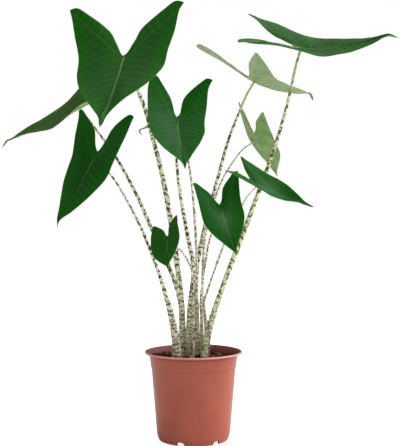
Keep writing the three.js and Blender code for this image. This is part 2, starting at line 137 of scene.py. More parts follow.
def splineAt(points, t):
    # the centripetal Catmull-Rom curve through the points, at t from 0 to 1 with each span a like share
    p = np.asarray(points, float)
    p = np.vstack([2 * p[0] - p[1], p, 2 * p[-1] - p[-2]])
    place = np.clip(np.asarray(t, float), 0, 1) * (len(points) - 1)
    i = np.minimum(place.astype(int), len(points) - 2)
    w = (place - i)[:, None]
    p0, p1, p2, p3 = p[i], p[i + 1], p[i + 2], p[i + 3]
    spans = ((p0, p1), (p1, p2), (p2, p3))
    d0, d1, d2 = (np.sqrt(np.linalg.norm(b - a, axis=1, keepdims=True)) for a, b in spans)
    t1 = ((p1 - p0) / d0 - (p2 - p0) / (d0 + d1) + (p2 - p1) / d1) * d1
    t2 = ((p2 - p1) / d1 - (p3 - p1) / (d1 + d2) + (p3 - p2) / d2) * d1
    return p1 + w * t1 + w**2 * (3 * (p2 - p1) - 2 * t1 - t2) + w**3 * (2 * (p1 - p2) + t1 + t2)


def evenly(points, count):
    # count points at equal distances along the curve, with how far along it each is, in mm
    fine = splineAt(points, np.linspace(0, 1, 1600))
    gone = np.concatenate([[0], np.cumsum(np.linalg.norm(np.diff(fine, axis=0), axis=1))])
    want = np.linspace(0, gone[-1], count)
    return pointsAt(*(np.interp(want, gone, column) for column in fine.T)), want


def gridFaces(rows, columns, start=0):
    # quads between the rows of a grid stored row by row, where each row is a closed ring
    i = np.arange(columns)
    j = np.arange(rows - 1)[:, None] * columns + start
    k = (i + 1) % columns
    return np.stack([j + i, j + k, j + columns + k, j + columns + i], axis=-1).reshape(-1, 4)


def fanFaces(ring, centre):
    # triangles from a centre to a ring of points
    return np.stack([np.full(len(ring), centre), ring, np.roll(ring, -1)], axis=1)


def tubeFaces(rows, columns):
    # a tube of rings, closed by the two points stored after them, in the middle of the first and the last
    ring = np.arange(columns)
    total = rows * columns
    last = ring + total - columns
    return [gridFaces(rows, columns), fanFaces(ring, total)[:, ::-1], fanFaces(last, total + 1)]


def buildPiece(name, points, faces, material, fields, node):
    # a mesh from points in mm and lists of faces; its material reads the fields, a value at each point
    mesh = bpy.data.meshes.new(name)
    corners = np.concatenate([f.ravel() for f in faces]).astype(np.int32)
    sizes = np.concatenate([np.full(len(f), f.shape[1]) for f in faces]).astype(np.int32)
    mesh.vertices.add(len(points))
    mesh.vertices.foreach_set("co", (np.asarray(points, float) * mm).ravel())
    mesh.loops.add(len(corners))
    mesh.loops.foreach_set("vertex_index", corners)
    mesh.polygons.add(len(sizes))
    mesh.polygons.foreach_set("loop_start", np.concatenate([[0], np.cumsum(sizes)[:-1]]).astype(np.int32))
    mesh.polygons.foreach_set("use_smooth", np.ones(len(sizes), bool))
    mesh.update(calc_edges=True)
    for field, values in fields.items():
        values = np.asarray(values, float)
        kind, key = ("FLOAT_VECTOR", "vector") if values.ndim == 2 else ("FLOAT", "value")
        mesh.attributes.new(field, kind, "POINT").data.foreach_set(key, values.ravel())
    mesh.materials.append(material)
    piece = bpy.data.objects.new(name, mesh)
    bpy.context.collection.objects.link(piece)
    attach(piece, "root")
    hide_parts(node)
    return piece


# A leaf is drawn tip up with its upper side to the viewer, so its right half has u > 0, and at is where the
# stalk meets the blade, in mm. heading, pitch and roll turn the midrib: heading 0 points along +X and 90
# along +Y, and a negative pitch points the tip down. Pairs hold the right and the left side: half is the
# widest half width, lobe the length of the basal lobe and spread its angle off the midrib's line, ear how
# far the lobe's end points outwards and bulge how round its inner edge is, as shares of its length. sinus is
# how far behind the stalk the lobes meet. droop and lobeDroop bend the blade and the lobes down along their
# length, and hook bends the narrow tip. fold and lobeFold lift the halves off flat, camber rounds them over
# again, twist turns the tip about the midrib and wave is the height of the ripples at the edge. stalk holds
# the radii at its foot and at its top, flare is what the foot gains on its radius, and path climbs from
# inside the soil to a little below the blade. Angles are in degrees.
leaves = [
  {
    "name": "1", "at": [-117.5, -53, 650.5], "heading": -96, "pitch": -44.5, "roll": -6,
    "length": 216.5, "half": [78, 81], "lobe": [150.5, 146], "spread": [42, 43], "sinus": 4,
    "ear": [0.01, 0.04], "bulge": [0.14, 0.16], "droop": -16, "hook": 24.5, "lobeDroop": -44,
    "fold": 8.5, "lobeFold": 15, "camber": 0.09, "twist": -6, "wave": 2.2,
    "stalk": [6.3, 2.8], "flare": 0.2,
    "path": [
      [-20.4, 1, 114], [-20.4, 0, 223], [-30.4, -5, 319], [-45.2, -12, 412], [-58.4, -20, 477],
      [-67.6, -26, 512], [-80.4, -36, 562], [-92.2, -46, 595],
    ],
  },
  {
    "name": "2", "at": [-199, 10, 575], "heading": 158, "pitch": -22, "roll": 37.5,
    "length": 176, "half": [63.5, 66.5], "lobe": [137, 137], "spread": [28, 28], "sinus": 21,
    "ear": [0.01, 0.01], "bulge": [0.14, 0.14], "droop": -7.5, "hook": 36, "lobeDroop": 11,
    "fold": 8.5, "lobeFold": 30, "camber": 0.03, "twist": -14.5, "wave": 1.5,
    "stalk": [5.6, 1.7], "flare": 0.3,
    "path": [
      [-15, 15.5, 114], [-17, 15, 166], [-21, 14, 221], [-28.3, 13, 256], [-41.4, 12, 293],
      [-75, 12, 367.5], [-99, 11, 422], [-136.4, 11, 490], [-173, 10, 541],
    ],
  },
  {
    "name": "3", "at": [-27, -30, 541], "heading": -83, "pitch": -42, "roll": 4.5,
    "length": 143.5, "half": [54, 47.5], "lobe": [111.5, 116], "spread": [28.5, 30.5], "sinus": 21.5,
    "ear": [-0.06, 0.05], "bulge": [0.11, 0.16], "droop": -16, "hook": 9, "lobeDroop": -50,
    "fold": 15.5, "lobeFold": 18, "camber": 0.07, "twist": -9, "wave": 1.2,
    "stalk": [4.9, 2.1], "flare": 2.1,
    "path": [
      [-6.4, -3, 114], [-6.6, -8, 216], [-0.4, -14, 300], [-8.8, -17, 346], [-20.6, -20, 411],
      [-28.3, -24, 477],
    ],
  },
  {
    "name": "4", "at": [-161.5, -100, 477.5], "heading": -141, "pitch": -60.5, "roll": 19.5,
    "length": 133.5, "half": [45, 46.5], "lobe": [103, 101.5], "spread": [40, 39.5], "sinus": 15,
    "ear": [0.01, 0.03], "bulge": [0.14, 0.16], "droop": -10, "hook": 32, "lobeDroop": -24.5,
    "fold": 6.5, "lobeFold": 21.5, "camber": 0.15, "twist": 5, "wave": 1.2,
    "stalk": [4.6, 1.3], "flare": 4.2,
    "path": [
      [-27.6, -13.5, 114], [-31.2, -18.5, 180], [-49.4, -35, 260], [-83, -61, 357],
      [-111.3, -78, 415], [-135, -90, 453],
    ],
  },
  {
    "name": "5", "at": [-42, -95, 344], "heading": -87, "pitch": -35, "roll": -36,
    "length": 74, "half": [30.5, 27.5], "lobe": [58, 56.5], "spread": [27, 26.5], "sinus": 15.5,
    "ear": [0, 0.01], "bulge": [0.12, 0.14], "droop": -1, "hook": 3.5, "lobeDroop": -0.5,
    "fold": 8, "lobeFold": 21, "camber": 0.11, "twist": -3, "wave": 0.8,
    "stalk": [2.9, 1], "flare": 0.4,
    "path": [
      [-1, -14, 114], [0, -15, 196], [-1, -20, 256], [-3.5, -30, 295], [-7, -42, 305],
      [-14, -58, 319], [-23, -74, 331],
    ],
  },
  {
    "name": "6", "at": [47.5, -90, 392], "heading": -74.5, "pitch": -42, "roll": -19,
    "length": 105.5, "half": [36.5, 35.5], "lobe": [73.5, 83], "spread": [32, 37], "sinus": 18,
    "ear": [0.02, 0], "bulge": [0.13, 0.15], "droop": -1.5, "hook": -2, "lobeDroop": -16,
    "fold": 9, "lobeFold": 29.5, "camber": 0.07, "twist": -4, "wave": 1,
    "stalk": [2.8, 1.4], "flare": 0.3,
    "path": [
      [17, 0.8, 114], [15.5, -2, 176], [12.8, -14, 241], [16, -26, 277], [20, -36, 303],
      [29, -66, 352],
    ],
  },
  {
    "name": "7", "at": [111.5, 90, 635], "heading": 43, "pitch": -13, "roll": -12.5,
    "length": 170.5, "half": [58.5, 54.5], "lobe": [139.5, 135.5], "spread": [47, 41.5], "sinus": 18,
    "ear": [0.01, -0.02], "bulge": [0.07, 0.18], "droop": -23.5, "hook": 58, "lobeDroop": -22.5,
    "fold": 23.5, "lobeFold": 32, "camber": 0.23, "twist": -1, "wave": 1.4,
    "stalk": [5.1, 1.9], "flare": 0.3,
    "path": [
      [4, 12.5, 114], [4.3, 17, 206], [6, 22, 295], [19.2, 34, 364], [36, 46, 428],
      [61.7, 65, 521], [71, 71, 547], [84, 79, 579], [95.8, 85, 607],
    ],
  },
  {
    "name": "8", "at": [118.5, 110, 529.5], "heading": 56.5, "pitch": -40, "roll": -22,
    "length": 101.5, "half": [42, 39], "lobe": [83.5, 81], "spread": [31.5, 32.5], "sinus": 16.5,
    "ear": [0.02, 0.02], "bulge": [0.09, 0.15], "droop": -2.5, "hook": 18, "lobeDroop": -20,
    "fold": 17.5, "lobeFold": 19.5, "camber": 0.1, "twist": 15, "wave": 1,
    "stalk": [3.6, 1.2], "flare": 0.2,
    "path": [
      [14.5, 12, 114], [15, 31, 242], [22, 61, 359], [41, 81, 425], [56, 92, 461],
      [78, 103, 495], [92, 108, 512],
    ],
  },
  {
    "name": "9", "at": [109, -60, 438.5], "heading": -5.5, "pitch": -31, "roll": -29.5,
    "length": 100, "half": [34, 35.5], "lobe": [70, 69], "spread": [40, 40.5], "sinus": 17,
    "ear": [0.01, 0], "bulge": [0.13, 0.04], "droop": -22.5, "hook": 19.5, "lobeDroop": 2.5,
    "fold": 25.5, "lobeFold": 22, "camber": 0.1, "twist": -11.5, "wave": 1,
    "stalk": [3.5, 0.9], "flare": 0.2,
    "path": [
      [23, 6, 114], [22.6, 6, 161], [20.5, 0, 208], [18.4, -5, 237], [22.6, -7.5, 252],
      [29.6, -10.5, 273], [42, -17, 309], [50.7, -25, 333], [86, -46, 411], [94.6, -50, 423],
    ],
  },
  {
    "name": "10", "at": [-20, 30, 552], "heading": 165, "pitch": 8, "roll": 0,
    "length": 92, "half": [26, 26], "lobe": [40, 40], "spread": [32, 32], "sinus": 9,
    "ear": [0.01, 0.01], "bulge": [0.14, 0.14], "droop": 36, "hook": 98, "lobeDroop": 10,
    "fold": 12, "lobeFold": 15, "camber": 0.05, "twist": 0, "wave": 0.8,
    "stalk": [3.1, 1.5], "flare": 2,
    "path": [
      [7.9, 1, 114], [6.3, 3, 216], [5, 5, 328], [-2, 18, 431], [-8, 24, 476], [-15, 28, 520],
    ],
  },
  {
    "name": "11", "at": [186, -10, 676.5], "heading": -4, "pitch": -3.5, "roll": -31,
    "length": 168.5, "half": [50, 46], "lobe": [145.5, 139], "spread": [39.5, 45], "sinus": 7,
    "ear": [0.08, 0.01], "bulge": [0.1, 0.14], "droop": -26, "hook": 34, "lobeDroop": -19.5,
    "fold": 9, "lobeFold": 32.5, "camber": 0.16, "twist": -2, "wave": 1.6,
    "stalk": [6, 2.2], "flare": 1.4,
    "path": [
      [18, -11, 114], [19.3, -11, 151], [26.6, -11, 189], [47, -11, 255], [92.4, -11, 374],
      [136, -10, 493], [155.6, -10, 555], [168.3, -10, 606], [177, -10, 646],
    ],
  },
]

# a sheath's widths at its foot and at its top, how far it curls round the stalks, and its middle line
sheaths = [
  {
    "name": "sheath_left", "width": [9, 1.6], "curl": 0.05,
    "path": [[-3, -19.5, 114], [-2, -20.5, 156], [3, -21, 186], [6, -21, 205], [10, -20, 236]],
  },
  {
    "name": "sheath_right", "width": [4.5, 1.4], "curl": 0.02,
    "path": [[25, -20.5, 114], [26.5, -21, 156], [28, -20, 174], [26, -19.5, 196], [19.5, -20, 218]],
  },
]


# What each leaf's looks need beyond its shape. For the blade: the first says how much greyish painted sheen
# lies over the upper side, warm how far that side turns olive, and bloom is the whitish wax on the underside.
# For the
# stalk: the bands repeat about every so many mm and end above the height plainFrom, pink, green and olive say
# how far the cream ground turns pinkish or green and the dark bands olive, husk is the olive-brown skin of
# the foot, marks is how dark the bands are and footFade how much fainter they get towards the foot.
toneNames = (
    "paintedSheen", "warm", "bloom", "every", "plainFrom", "pink", "green", "olive", "husk", "marks", "footFade",
)
leafTones = {
    "1": (0.05, 0.05, 0.2, 12.5, 900, 0, 0.1, 0.5, 0.15, 1, 0.12),
    "2": (0.1, 0.5, 0.3, 12, 900, 0.05, 0.1, 0.4, 0.2, 0.95, 0.12),
    "3": (0.28, 0, 0.2, 8.5, 900, 0.15, 0, 0.3, 0.3, 1, 0.12),
    "4": (0, 0, 0.2, 11, 900, 0.2, 0, 0.1, 0.1, 1, 0.12),
    "5": (0.06, 0.1, 0.2, 8, 900, 0.5, 0, 0, 0.2, 1, 0.3),
    "6": (1.3, 0, 0.2, 8, 900, 0.3, 0, 0.1, 0, 0.9, 0.3),
    "7": (0.3, 0, 0.85, 11, 560, 0.1, 0.25, 0.2, 0.3, 1, 0.3),
    "8": (0.3, 0, 0.2, 9, 900, 0.5, 0, 0, 0.1, 0.7, 0.3),
    "9": (1.9, 0, 0.2, 11, 900, 0.5, 0, 0, 0.1, 0.65, 0.3),
    "10": (0.3, 0, 0.3, 11, 900, 0.2, 0, 0.1, 0.1, 0.75, 0.12),
    "11": (0, 0.1, 0.2, 14, 590, 0, 0.3, 0.8, 0, 1, 0.2),
}
leafTones = {name: dict(zip(toneNames, values)) for name, values in leafTones.items()}

# The skin of an alocasia leaf: a dark, waxy upper side with a satin gloss and a greyish painted sheen over
# its middle, veins drawn as paler lines, and a grey-green underside that the wax makes almost matt.
skinLook = {
    "upper": "#135113", "upperEdgeGlow": "#105b05", "upperDeep": "#0d4509", "upperSheen": "#447548",
    "upperWarm": "#4b6a24", "rib": "#7c9a5c", "vein": "#357a33", "rim": "#6d9a50",
    "under": "#7fa75b", "underWax": "#b4c69c", "underRib": "#a3ba78", "underVein": "#6c9647",
    "roughness": 0.38, "underRoughness": 0.6, "specular": 0.06,
    "clouds": 40,  # mm
    "grain": 2.5,  # mm
}

leafSkin, tree, shader = newMaterial("waxy leaf skin")
midrib, costa, sideVein, margin, under, bloom, tip, paintedSheen, warm = (
    addNode(tree, "Attribute", {"attribute_name": name}, {}, 2)
    for name in ("midrib", "costa", "sideVein", "margin", "under", "bloom", "tip", "paintedSheen", "warm")
)
bladePlace = addNode(tree, "Attribute", {"attribute_name": "bladePlace"}, {}, 1)  # in mm
clouds = addNode(tree, "TexNoise", {}, {"Vector": bladePlace, "Scale": 1 / skinLook["clouds"], "Detail": 2})
grain = addNode(tree, "TexNoise", {}, {"Vector": bladePlace, "Scale": 1 / skinLook["grain"], "Detail": 3})
# PINGPONG gives the distance to the nearest side vein, as a share of the distance between two
veinAway = addNode(tree, "Math", {"operation": "PINGPONG"}, (sideVein, 0.5))
# a ramp is (value, from, to), and then what these two become if it isn't 0 and 1
sideLine, veinFade, ribLine, costaLine, rimLine, edgeGlow, middleSheen = (
    addNode(tree, "MapRange", softRamp, ramp) for ramp in (
        (veinAway, 0, 0.26, 1, 0),
        (clouds, 0.35, 0.62, 0.25, 1),  # no two side veins are alike
        (midrib, 0.2, 0.85, 1, 0),
        (costa, 0.2, 1, 1, 0),
        (margin, 0.1, 0.9, 1, 0),  # the edge itself is a thin paler rim
        (margin, 2, 34, 1, 0),  # near it the blade is thinner, and its green is painted brighter and more saturated as light shining through
        (margin, 8, 55, 0.35, 1),  # its middle carries a greyish painted sheen, on some leaves more than on others
    )
)
sideLine = addNode(tree, "Math", times, (sideLine, veinFade))
ribFade, tipGreen, bloomCloud = (
    addNode(tree, "MapRange", {}, ramp)
    for ramp in ((tip, 0, 0.9, 0.7, 0.1), (tip, 0.7, 1, 0, 0.8), (clouds, 0.35, 0.65, -0.4, 0.4))
)
upperGreen = layColours(tree, skinLook["upperDeep"], (
    # the greyish tone laid over the middle is a painted sheen
    (clouds, 1, skinLook["upper"]), (middleSheen, paintedSheen, skinLook["upperSheen"]),
    # the brighter green near the edge is painted light shining through the thin blade
    (edgeGlow, 1, skinLook["upperEdgeGlow"]), (warm, 1, skinLook["upperWarm"]),
    (sideLine, 0.2, skinLook["vein"]), (rimLine, 0.5, skinLook["rim"]),
    (costaLine, 0.14, skinLook["rib"]), (ribLine, ribFade, skinLook["rib"]),
))
bloomShare = addNode(tree, "Math", clampedSum, (bloomCloud, bloom))
lowerGreen = layColours(tree, skinLook["under"], (
    (bloomShare, 1, skinLook["underWax"]), (tipGreen, 1, skinLook["underVein"]),
    (sideLine, 0.5, skinLook["underVein"]), (rimLine, 0.4, skinLook["under"]),
    (costaLine, 0.5, skinLook["underRib"]), (ribLine, 0.7, skinLook["underRib"]),
))
skinColour = layColours(tree, upperGreen, ((under, 1, lowerGreen),))
rough = skinLook["roughness"]
gloss = addNode(tree, "MapRange", {}, (clouds, 0.3, 0.7, rough - 0.04, rough + 0.05))
gloss = addNode(tree, "Mix", numberMix, {0: under, 2: gloss, 3: skinLook["underRoughness"]})
relief = addNode(tree, "Bump", {}, {"Height": grain, "Strength": 0.25, "Distance": 0.1 * mm})
connect(tree, shader, {
    "Base Color": skinColour, "Roughness": gloss, "Normal": relief,
    "Specular IOR Level": skinLook["specular"],
})

# The stalk's skin: smooth, fleshy and a little translucent, cream to pale green or pinkish, with torn dark
# bands that zigzag round it and break up into short dashes at the foot.
stalkSkin = {
    "cream": "#f8f6de", "green": "#cdd896", "pink": "#ead8d0", "band": "#352a1c", "bandOlive": "#69702c",
    "husk": "#e6e0b2", "huskDark": "#9c9158", "roughness": 0.42, "translucence": 0.5,
    "lightSpread": 6,  # how far light spreads in the flesh, mm
}

zebraStalk, tree, shader = newMaterial("banded fleshy stalk")
bandPhase, bands, husk, pink, green, olive, marks, upper = (
    addNode(tree, "Attribute", {"attribute_name": name}, {}, 2)
    for name in ("bandPhase", "bands", "husk", "pink", "green", "olive", "marks", "upper")
)
stalkPlace = addNode(tree, "Attribute", {"attribute_name": "stalkPlace"}, {}, 1)  # in mm
# a wobble of 9 mm bends the bands, dashes of 1.5 mm across and 4 mm along fray them, breaks of 5 mm tear
# them, and sparse dark specks stay where they end
squeezed = addNode(tree, "VectorMath", times, (stalkPlace, (1, 1, 0.4)))
wobble, dashes, breaks, specks = (
    addNode(tree, "TexNoise", {}, {"Vector": where, "Scale": scale, "Detail": detail})
    for where, scale, detail in (
        (stalkPlace, 0.11, 1), (squeezed, 0.66, 1), (stalkPlace, 0.2, 0), (stalkPlace, 0.22, 0),
    )
)
shifted = addNode(tree, "Math", timesPlus, (wobble, 1.5, bandPhase))
shifted = addNode(tree, "Math", timesPlus, (dashes, 0.65, shifted))
turned = addNode(tree, "Math", times, (shifted, 2 * math.pi))
waves = addNode(tree, "Math", {"operation": "SINE"}, (turned,))
waves = addNode(tree, "Math", timesPlus, (breaks, 3.4, waves))
mark, specks, huskTone = (
    addNode(tree, "MapRange", softRamp, ramp)
    for ramp in ((waves, 1.75, 2.15), (specks, 0.66, 0.72), (dashes, 0.45, 0.6))
)
mark = addNode(tree, "Math", times, (mark, bands))
mark = addNode(tree, "Math", largest, (mark, specks))
greenShare, bandTone = (
    addNode(tree, "Math", clampedSum, (addNode(tree, "MapRange", {}, ramp), share))
    for ramp, share in (((wobble, 0.3, 0.7, -0.12, 0.12), green), ((dashes, 0.3, 0.7, -0.25, 0.25), olive))
)
# the stalk is green under the blade, and where its bands end
fewBands = addNode(tree, "Math", minus, (1, bands))
for other in (fewBands, upper):
    greenShare = addNode(tree, "Math", largest, (greenShare, other))
bandColour = layColours(tree, stalkSkin["band"], ((bandTone, 1, stalkSkin["bandOlive"]),))
huskColour = layColours(tree, stalkSkin["husk"], ((huskTone, 1, stalkSkin["huskDark"]),))
skinTone = layColours(tree, stalkSkin["cream"], (
    (greenShare, 1, stalkSkin["green"]), (pink, 1, stalkSkin["pink"]), (mark, marks, bandColour),
    (husk, 0.7, huskColour),
))
relief = addNode(tree, "Bump", {}, {"Height": dashes, "Strength": 0.4, "Distance": 0.4 * mm})
connect(tree, shader, {
    "Base Color": skinTone, "Roughness": stalkSkin["roughness"], "Normal": relief,
    "Subsurface Weight": stalkSkin["translucence"], "Subsurface Radius": (1, 0.9, 0.55),
    "Subsurface Scale": stalkSkin["lightSpread"] * mm,
})

# Dried sheaths: papery, matt and fibrous, mauve to brown, in patches of 6 mm.
sheathTones = {"pale": "#e4d3c6", "dark": "#806158", "roughness": 0.8}

driedSheath, tree, shader = newMaterial("dried papery sheath")
fibrePlace = addNode(tree, "Attribute", {"attribute_name": "fibrePlace"}, {}, 1)
drawn = addNode(tree, "VectorMath", times, (fibrePlace, (1.4, 1.4, 0.09)))
fibres = addNode(tree, "TexNoise", {}, {"Vector": drawn, "Scale": 1, "Detail": 5})
patches = addNode(tree, "TexNoise", {}, {"Vector": fibrePlace, "Scale": 0.17, "Detail": 1})
fibreTone = addNode(tree, "Math", timesPlus, (patches, 1.6, fibres))
fibreTone = addNode(tree, "MapRange", softRamp, (fibreTone, 1.1, 1.5))
sheathColour = layColours(tree, sheathTones["dark"], ((fibreTone, 1, sheathTones["pale"]),))
relief = addNode(tree, "Bump", {}, {"Height": fibres, "Strength": 0.7, "Distance": 0.6 * mm})
connect(tree, shader, {"Base Color": sheathColour, "Roughness": sheathTones["roughness"], "Normal": relief})

# Potting soil: peat in grains of 2.4 mm and bark, dark and matt, each crumb with a tone of its own.
soilTones = {"dark": "#2e150e", "brown": "#54291c", "bark": "#9a6a4c", "roughness": 0.95, "specular": 0.15}

pottingSoil, tree, shader = newMaterial("damp potting soil")
place = addNode(tree, "TexCoord", {}, {}, 3)
crumb = addNode(tree, "Attribute", {"attribute_name": "crumb"}, {}, 2)
peat = addNode(tree, "TexNoise", {}, {"Vector": place, "Scale": 420, "Detail": 5})
peatTone = addNode(tree, "MapRange", softRamp, (peat, 0.35, 0.7))
barkTone = addNode(tree, "MapRange", softRamp, (crumb, 0.6, 1))
soilColour = layColours(tree, soilTones["dark"], (
    (peatTone, 1, soilTones["brown"]), (barkTone, 1, soilTones["bark"]),
))
relief = addNode(tree, "Bump", {}, {"Height": peat, "Strength": 0.8, "Distance": 1.2 * mm})
connect(tree, shader, {
    "Base Color": soilColour, "Roughness": soilTones["roughness"],
    "Specular IOR Level": soilTones["specular"], "Normal": relief,
})

# The pot in millimetres, as its solid has it: the lip rolls out over a short collar above the plain wall.
potLook = {
    "height": 152, "lipRadius": 85, "lipInnerRadius": 80.5, "lipHeight": 6,
    "collarTop": 76.5, "collarBottom": 74, "collarFrom": 125,
    "wallTop": 73, "wallBottom": 63.5, "chamfer": 10,
    "foot": 60.5, "footInner": 57.9, "footHeight": 7, "centreFoot": 15,
    "wall": 1.6, "floor": 2.5, "sides": 256,
    "notches": 6, "notchWidth": 13, "notchHeight": 6.7, "firstNotch": -20.5,
    "holes": 6, "holeRadius": 5, "holeRing": 38,
    "unround": 0.22,  # how far the thin wall is out of round, mm
}

# The pot: injection-moulded polypropylene in a terracotta colour, satin, with a faint cloudiness. A pale
# painted highlight lies along the lip's top edge, painted shade lines run under the lip, above the foot and
# at the collar's crease, and the inside is darkened as painted shade.
potTones = {
    "base": "#b95c43", "cloud": "#b2563f", "paintedLipHighlight": "#e6b0a4", "line": "#8c3527", "insideShade": "#7a3026",
    "seam": "#47190f", "roughness": 0.3,
}

terracottaPlastic, tree, shader = newMaterial("terracotta polypropylene")
place = addNode(tree, "TexCoord", {}, {}, 3)
facing = addNode(tree, "TexCoord", {}, {}, 1)
# clouds of 45 mm and a moulded grain of 1.1 mm
cloudy = addNode(tree, "TexNoise", {}, {"Vector": place, "Scale": 22, "Detail": 4})
fineGrain = addNode(tree, "TexNoise", {}, {"Vector": place, "Scale": 900, "Detail": 2})
height = addNode(tree, "VectorMath", dotProduct, (place, (0, 0, 1)), 1)
outward = addNode(tree, "VectorMath", times, (place, (1, 1, 0)))
reach = addNode(tree, "VectorMath", {"operation": "LENGTH"}, (outward,), 1)
outwards = addNode(tree, "VectorMath", dotProduct, (facing, outward), 1)
# the moulding seams run down the inside, 60 and 240 degrees round from +X
offSeam = addNode(tree, "VectorMath", dotProduct, (place, (-0.866, 0.5, 0)), 1)
cloudTone = addNode(tree, "MapRange", softRamp, (cloudy, 0.35, 0.65))
inside = addNode(tree, "MapRange", softRamp, (outwards, -0.02, 0.01, 1, 0))
# each part lies in its range of heights or of distances from the axis, in mm, with soft ends
top, lipInner = potLook["height"], potLook["lipInnerRadius"]
lipBottom = top - potLook["lipHeight"]
onLip, lipTop, underLipShade, belowFace, insideShadeTop = (
    addNode(tree, "MapRange", softRamp, (where, low * mm, high * mm, *ends)) for where, low, high, *ends in (
        (reach, lipInner - 3, lipInner), (height, top - 3.8, top - 1.5),
        (height, lipBottom - 3.5, lipBottom - 0.5), (height, top - 4.4, top - 3.4, 1, 0),
        # the last ramp sets how strongly the inside is darkened as painted shade
        (height, top - 11.5, top - 0.5, 0.95, 0.9),
    )
)
# and each line lies at a height or at the seam, solid up to one distance from there and gone at the next
# the lines above the foot and at the collar's crease are painted shade in those creases
lines = []
for across, middle, solid, gone, strength in (
    (height, potLook["footHeight"] - 0.2, 0.3, 0.9, 1), (height, potLook["collarFrom"] + 0.2, 0.2, 1.1, 0.7),
    (offSeam, 0, 1.2, 2.6, 0.8),
):
    away = addNode(tree, "Math", minus, (across, middle * mm))
    away = addNode(tree, "Math", sizeOf, (away,))
    lines.append(addNode(tree, "MapRange", softRamp, (away, solid * mm, gone * mm, strength, 0)))
footShadeLine, creaseShade, seam = lines
paintedLipHighlight, underLipShade, insideShade, seam = (
    addNode(tree, "Math", times, pair)
    for pair in ((onLip, lipTop), (underLipShade, belowFace), (inside, insideShadeTop), (seam, inside))
)
# the line under the lip is painted shade too, and all three take the same dark colour
line = addNode(tree, "Math", largest, (underLipShade, footShadeLine))
line = addNode(tree, "Math", largest, (line, creaseShade))
potColour = layColours(tree, potTones["base"], (
    # a painted highlight along the lip's top edge, then the painted shade lines
    (cloudTone, 1, potTones["cloud"]), (paintedLipHighlight, 0.75, potTones["paintedLipHighlight"]), (line, 0.55, potTones["line"]),
    # painted shade over the inside, then the dark moulding seam
    (insideShade, 1, potTones["insideShade"]), (seam, 1, potTones["seam"]),
))
rough = potTones["roughness"]
potGloss = addNode(tree, "MapRange", {}, (cloudy, 0.3, 0.7, rough - 0.03, rough + 0.04))
# the inside, darkened as painted shade, is also duller
potGloss = addNode(tree, "Math", {**timesPlus, "use_clamp": True}, (insideShade, 0.35, potGloss))
relief = addNode(tree, "Bump", {}, {"Height": fineGrain, "Strength": 0.07, "Distance": 0.2 * mm})
connect(tree, shader, {"Base Color": potColour, "Roughness": potGloss, "Normal": relief})
print("materials made")


bladeLook = {
    "half": 0.4,  # half the blade's thickness, mm
    "edgeHalf": 0.16,  # and at the very edge
    "rings": 58,  # rows of faces from the stalk to the edge
    "rimRing": 0.9,  # one more row follows the edge, about this far inside it on the longest ray, mm
    "rays": 104,  # faces along each side's edge
    "undulation": 0.9,  # slow unevenness of the surface, mm
    "veinEvery": 0.09,  # fine side veins lie this share of the blade's length apart
    "groove": 0.3,  # depth of the main side veins in the upper side, mm
    "ribs": (0.85, 0.55),  # how far the ribs stand out below, as shares of the stalk's radius: midrib, lobes
    "lobeVeinAt": 0.735,  # where a lobe's main vein meets the edge, as the q below
    "forward": (0.38, 0.16),  # how far side veins lean to the tip: at the stalk, at the lobes' ends
}
lobeAt = 0.75  # along one side's edge q is 0 at the tip, this at the end of the lobe and 1 at the sinus


def sideOutline(leaf, side, q):
    # one side's edge in the flat blade: a curve through points that follow the leaf's sizes round to the
    # lobe's end, then the inner edge
    half, lobe = leaf["half"][side], leaf["lobe"][side]
    spread = math.radians(leaf["spread"][side])
    length, sinus = leaf["length"], leaf["sinus"]
    back, out = lobe * math.cos(spread), lobe * math.sin(spread)
    end = out + leaf["ear"][side] * lobe
    guide = [
        (0, length), (0.028 * half, 0.965 * length), (0.06 * half, 0.91 * length),
        (0.14 * half, 0.84 * length), (0.25 * half, 0.765 * length), (0.46 * half, 0.63 * length),
        (0.74 * half, 0.43 * length), (0.94 * half, 0.21 * length), (half, 0),
        (half + 0.42 * (out - half) + 0.02 * lobe, -0.46 * back),
        (half + 0.82 * (out - half) + 0.01 * lobe, -0.84 * back), (end, -back),
    ]
    outer = splineAt(guide, q / lobeAt)
    # the lobe's inner edge bulges off a straight run to the sinus, most of all near the lobe's end
    t = np.clip((q - lobeAt) / (1 - lobeAt), 0, 1)
    chord = math.hypot(end, back - sinus)
    run = np.array([-end, back - sinus]) / chord
    rise = 0.7 * (1 - np.exp(-t / 0.028)) + 0.3 * smoothStep(t / 0.5)
    bulge = leaf["bulge"][side] * chord * rise * (1 - smoothStep((t - 0.54) / 0.42))
    inner = np.stack([end * (1 - t) - run[1] * bulge, -back + (back - sinus) * t + run[0] * bulge], axis=1)
    return np.where((q <= lobeAt)[:, None], outer, inner)


def edgeSamples(leaf, side):
    # values of q that are crowded at the drip tip and at the lobe's end, where the edge turns most
    q = np.linspace(0, 1, 1601)
    step = np.linalg.norm(np.diff(sideOutline(leaf, side, q), axis=0), axis=1)
    gone = np.concatenate([[0], np.cumsum(step)])
    lobeEnd = np.interp(lobeAt, q, gone)
    crowd = 1 + 3.5 * np.exp(-(gone / (0.09 * leaf["length"])) ** 2)
    crowd += 1.2 * np.exp(-((gone - lobeEnd) / (0.12 * leaf["lobe"][side])) ** 2)
    amount = np.concatenate([[0], np.cumsum(step * (crowd[1:] + crowd[:-1]) / 2)])
    return np.interp(np.linspace(0, amount[-1], bladeLook["rays"] + 1), amount, q)


def leafAxes(leaf):
    # the leaf's own axes: across the blade, along the midrib and off the upper side
    heading, pitch, roll = (math.radians(leaf[key]) for key in ("heading", "pitch", "roll"))
    along = np.array([
        math.cos(heading) * math.cos(pitch), math.sin(heading) * math.cos(pitch), math.sin(pitch),
    ])
    level = np.array([math.sin(heading), -math.cos(heading), 0])
    across = level * math.cos(roll) + np.cross(level, along) * math.sin(roll)
    return across, along, np.cross(across, along)


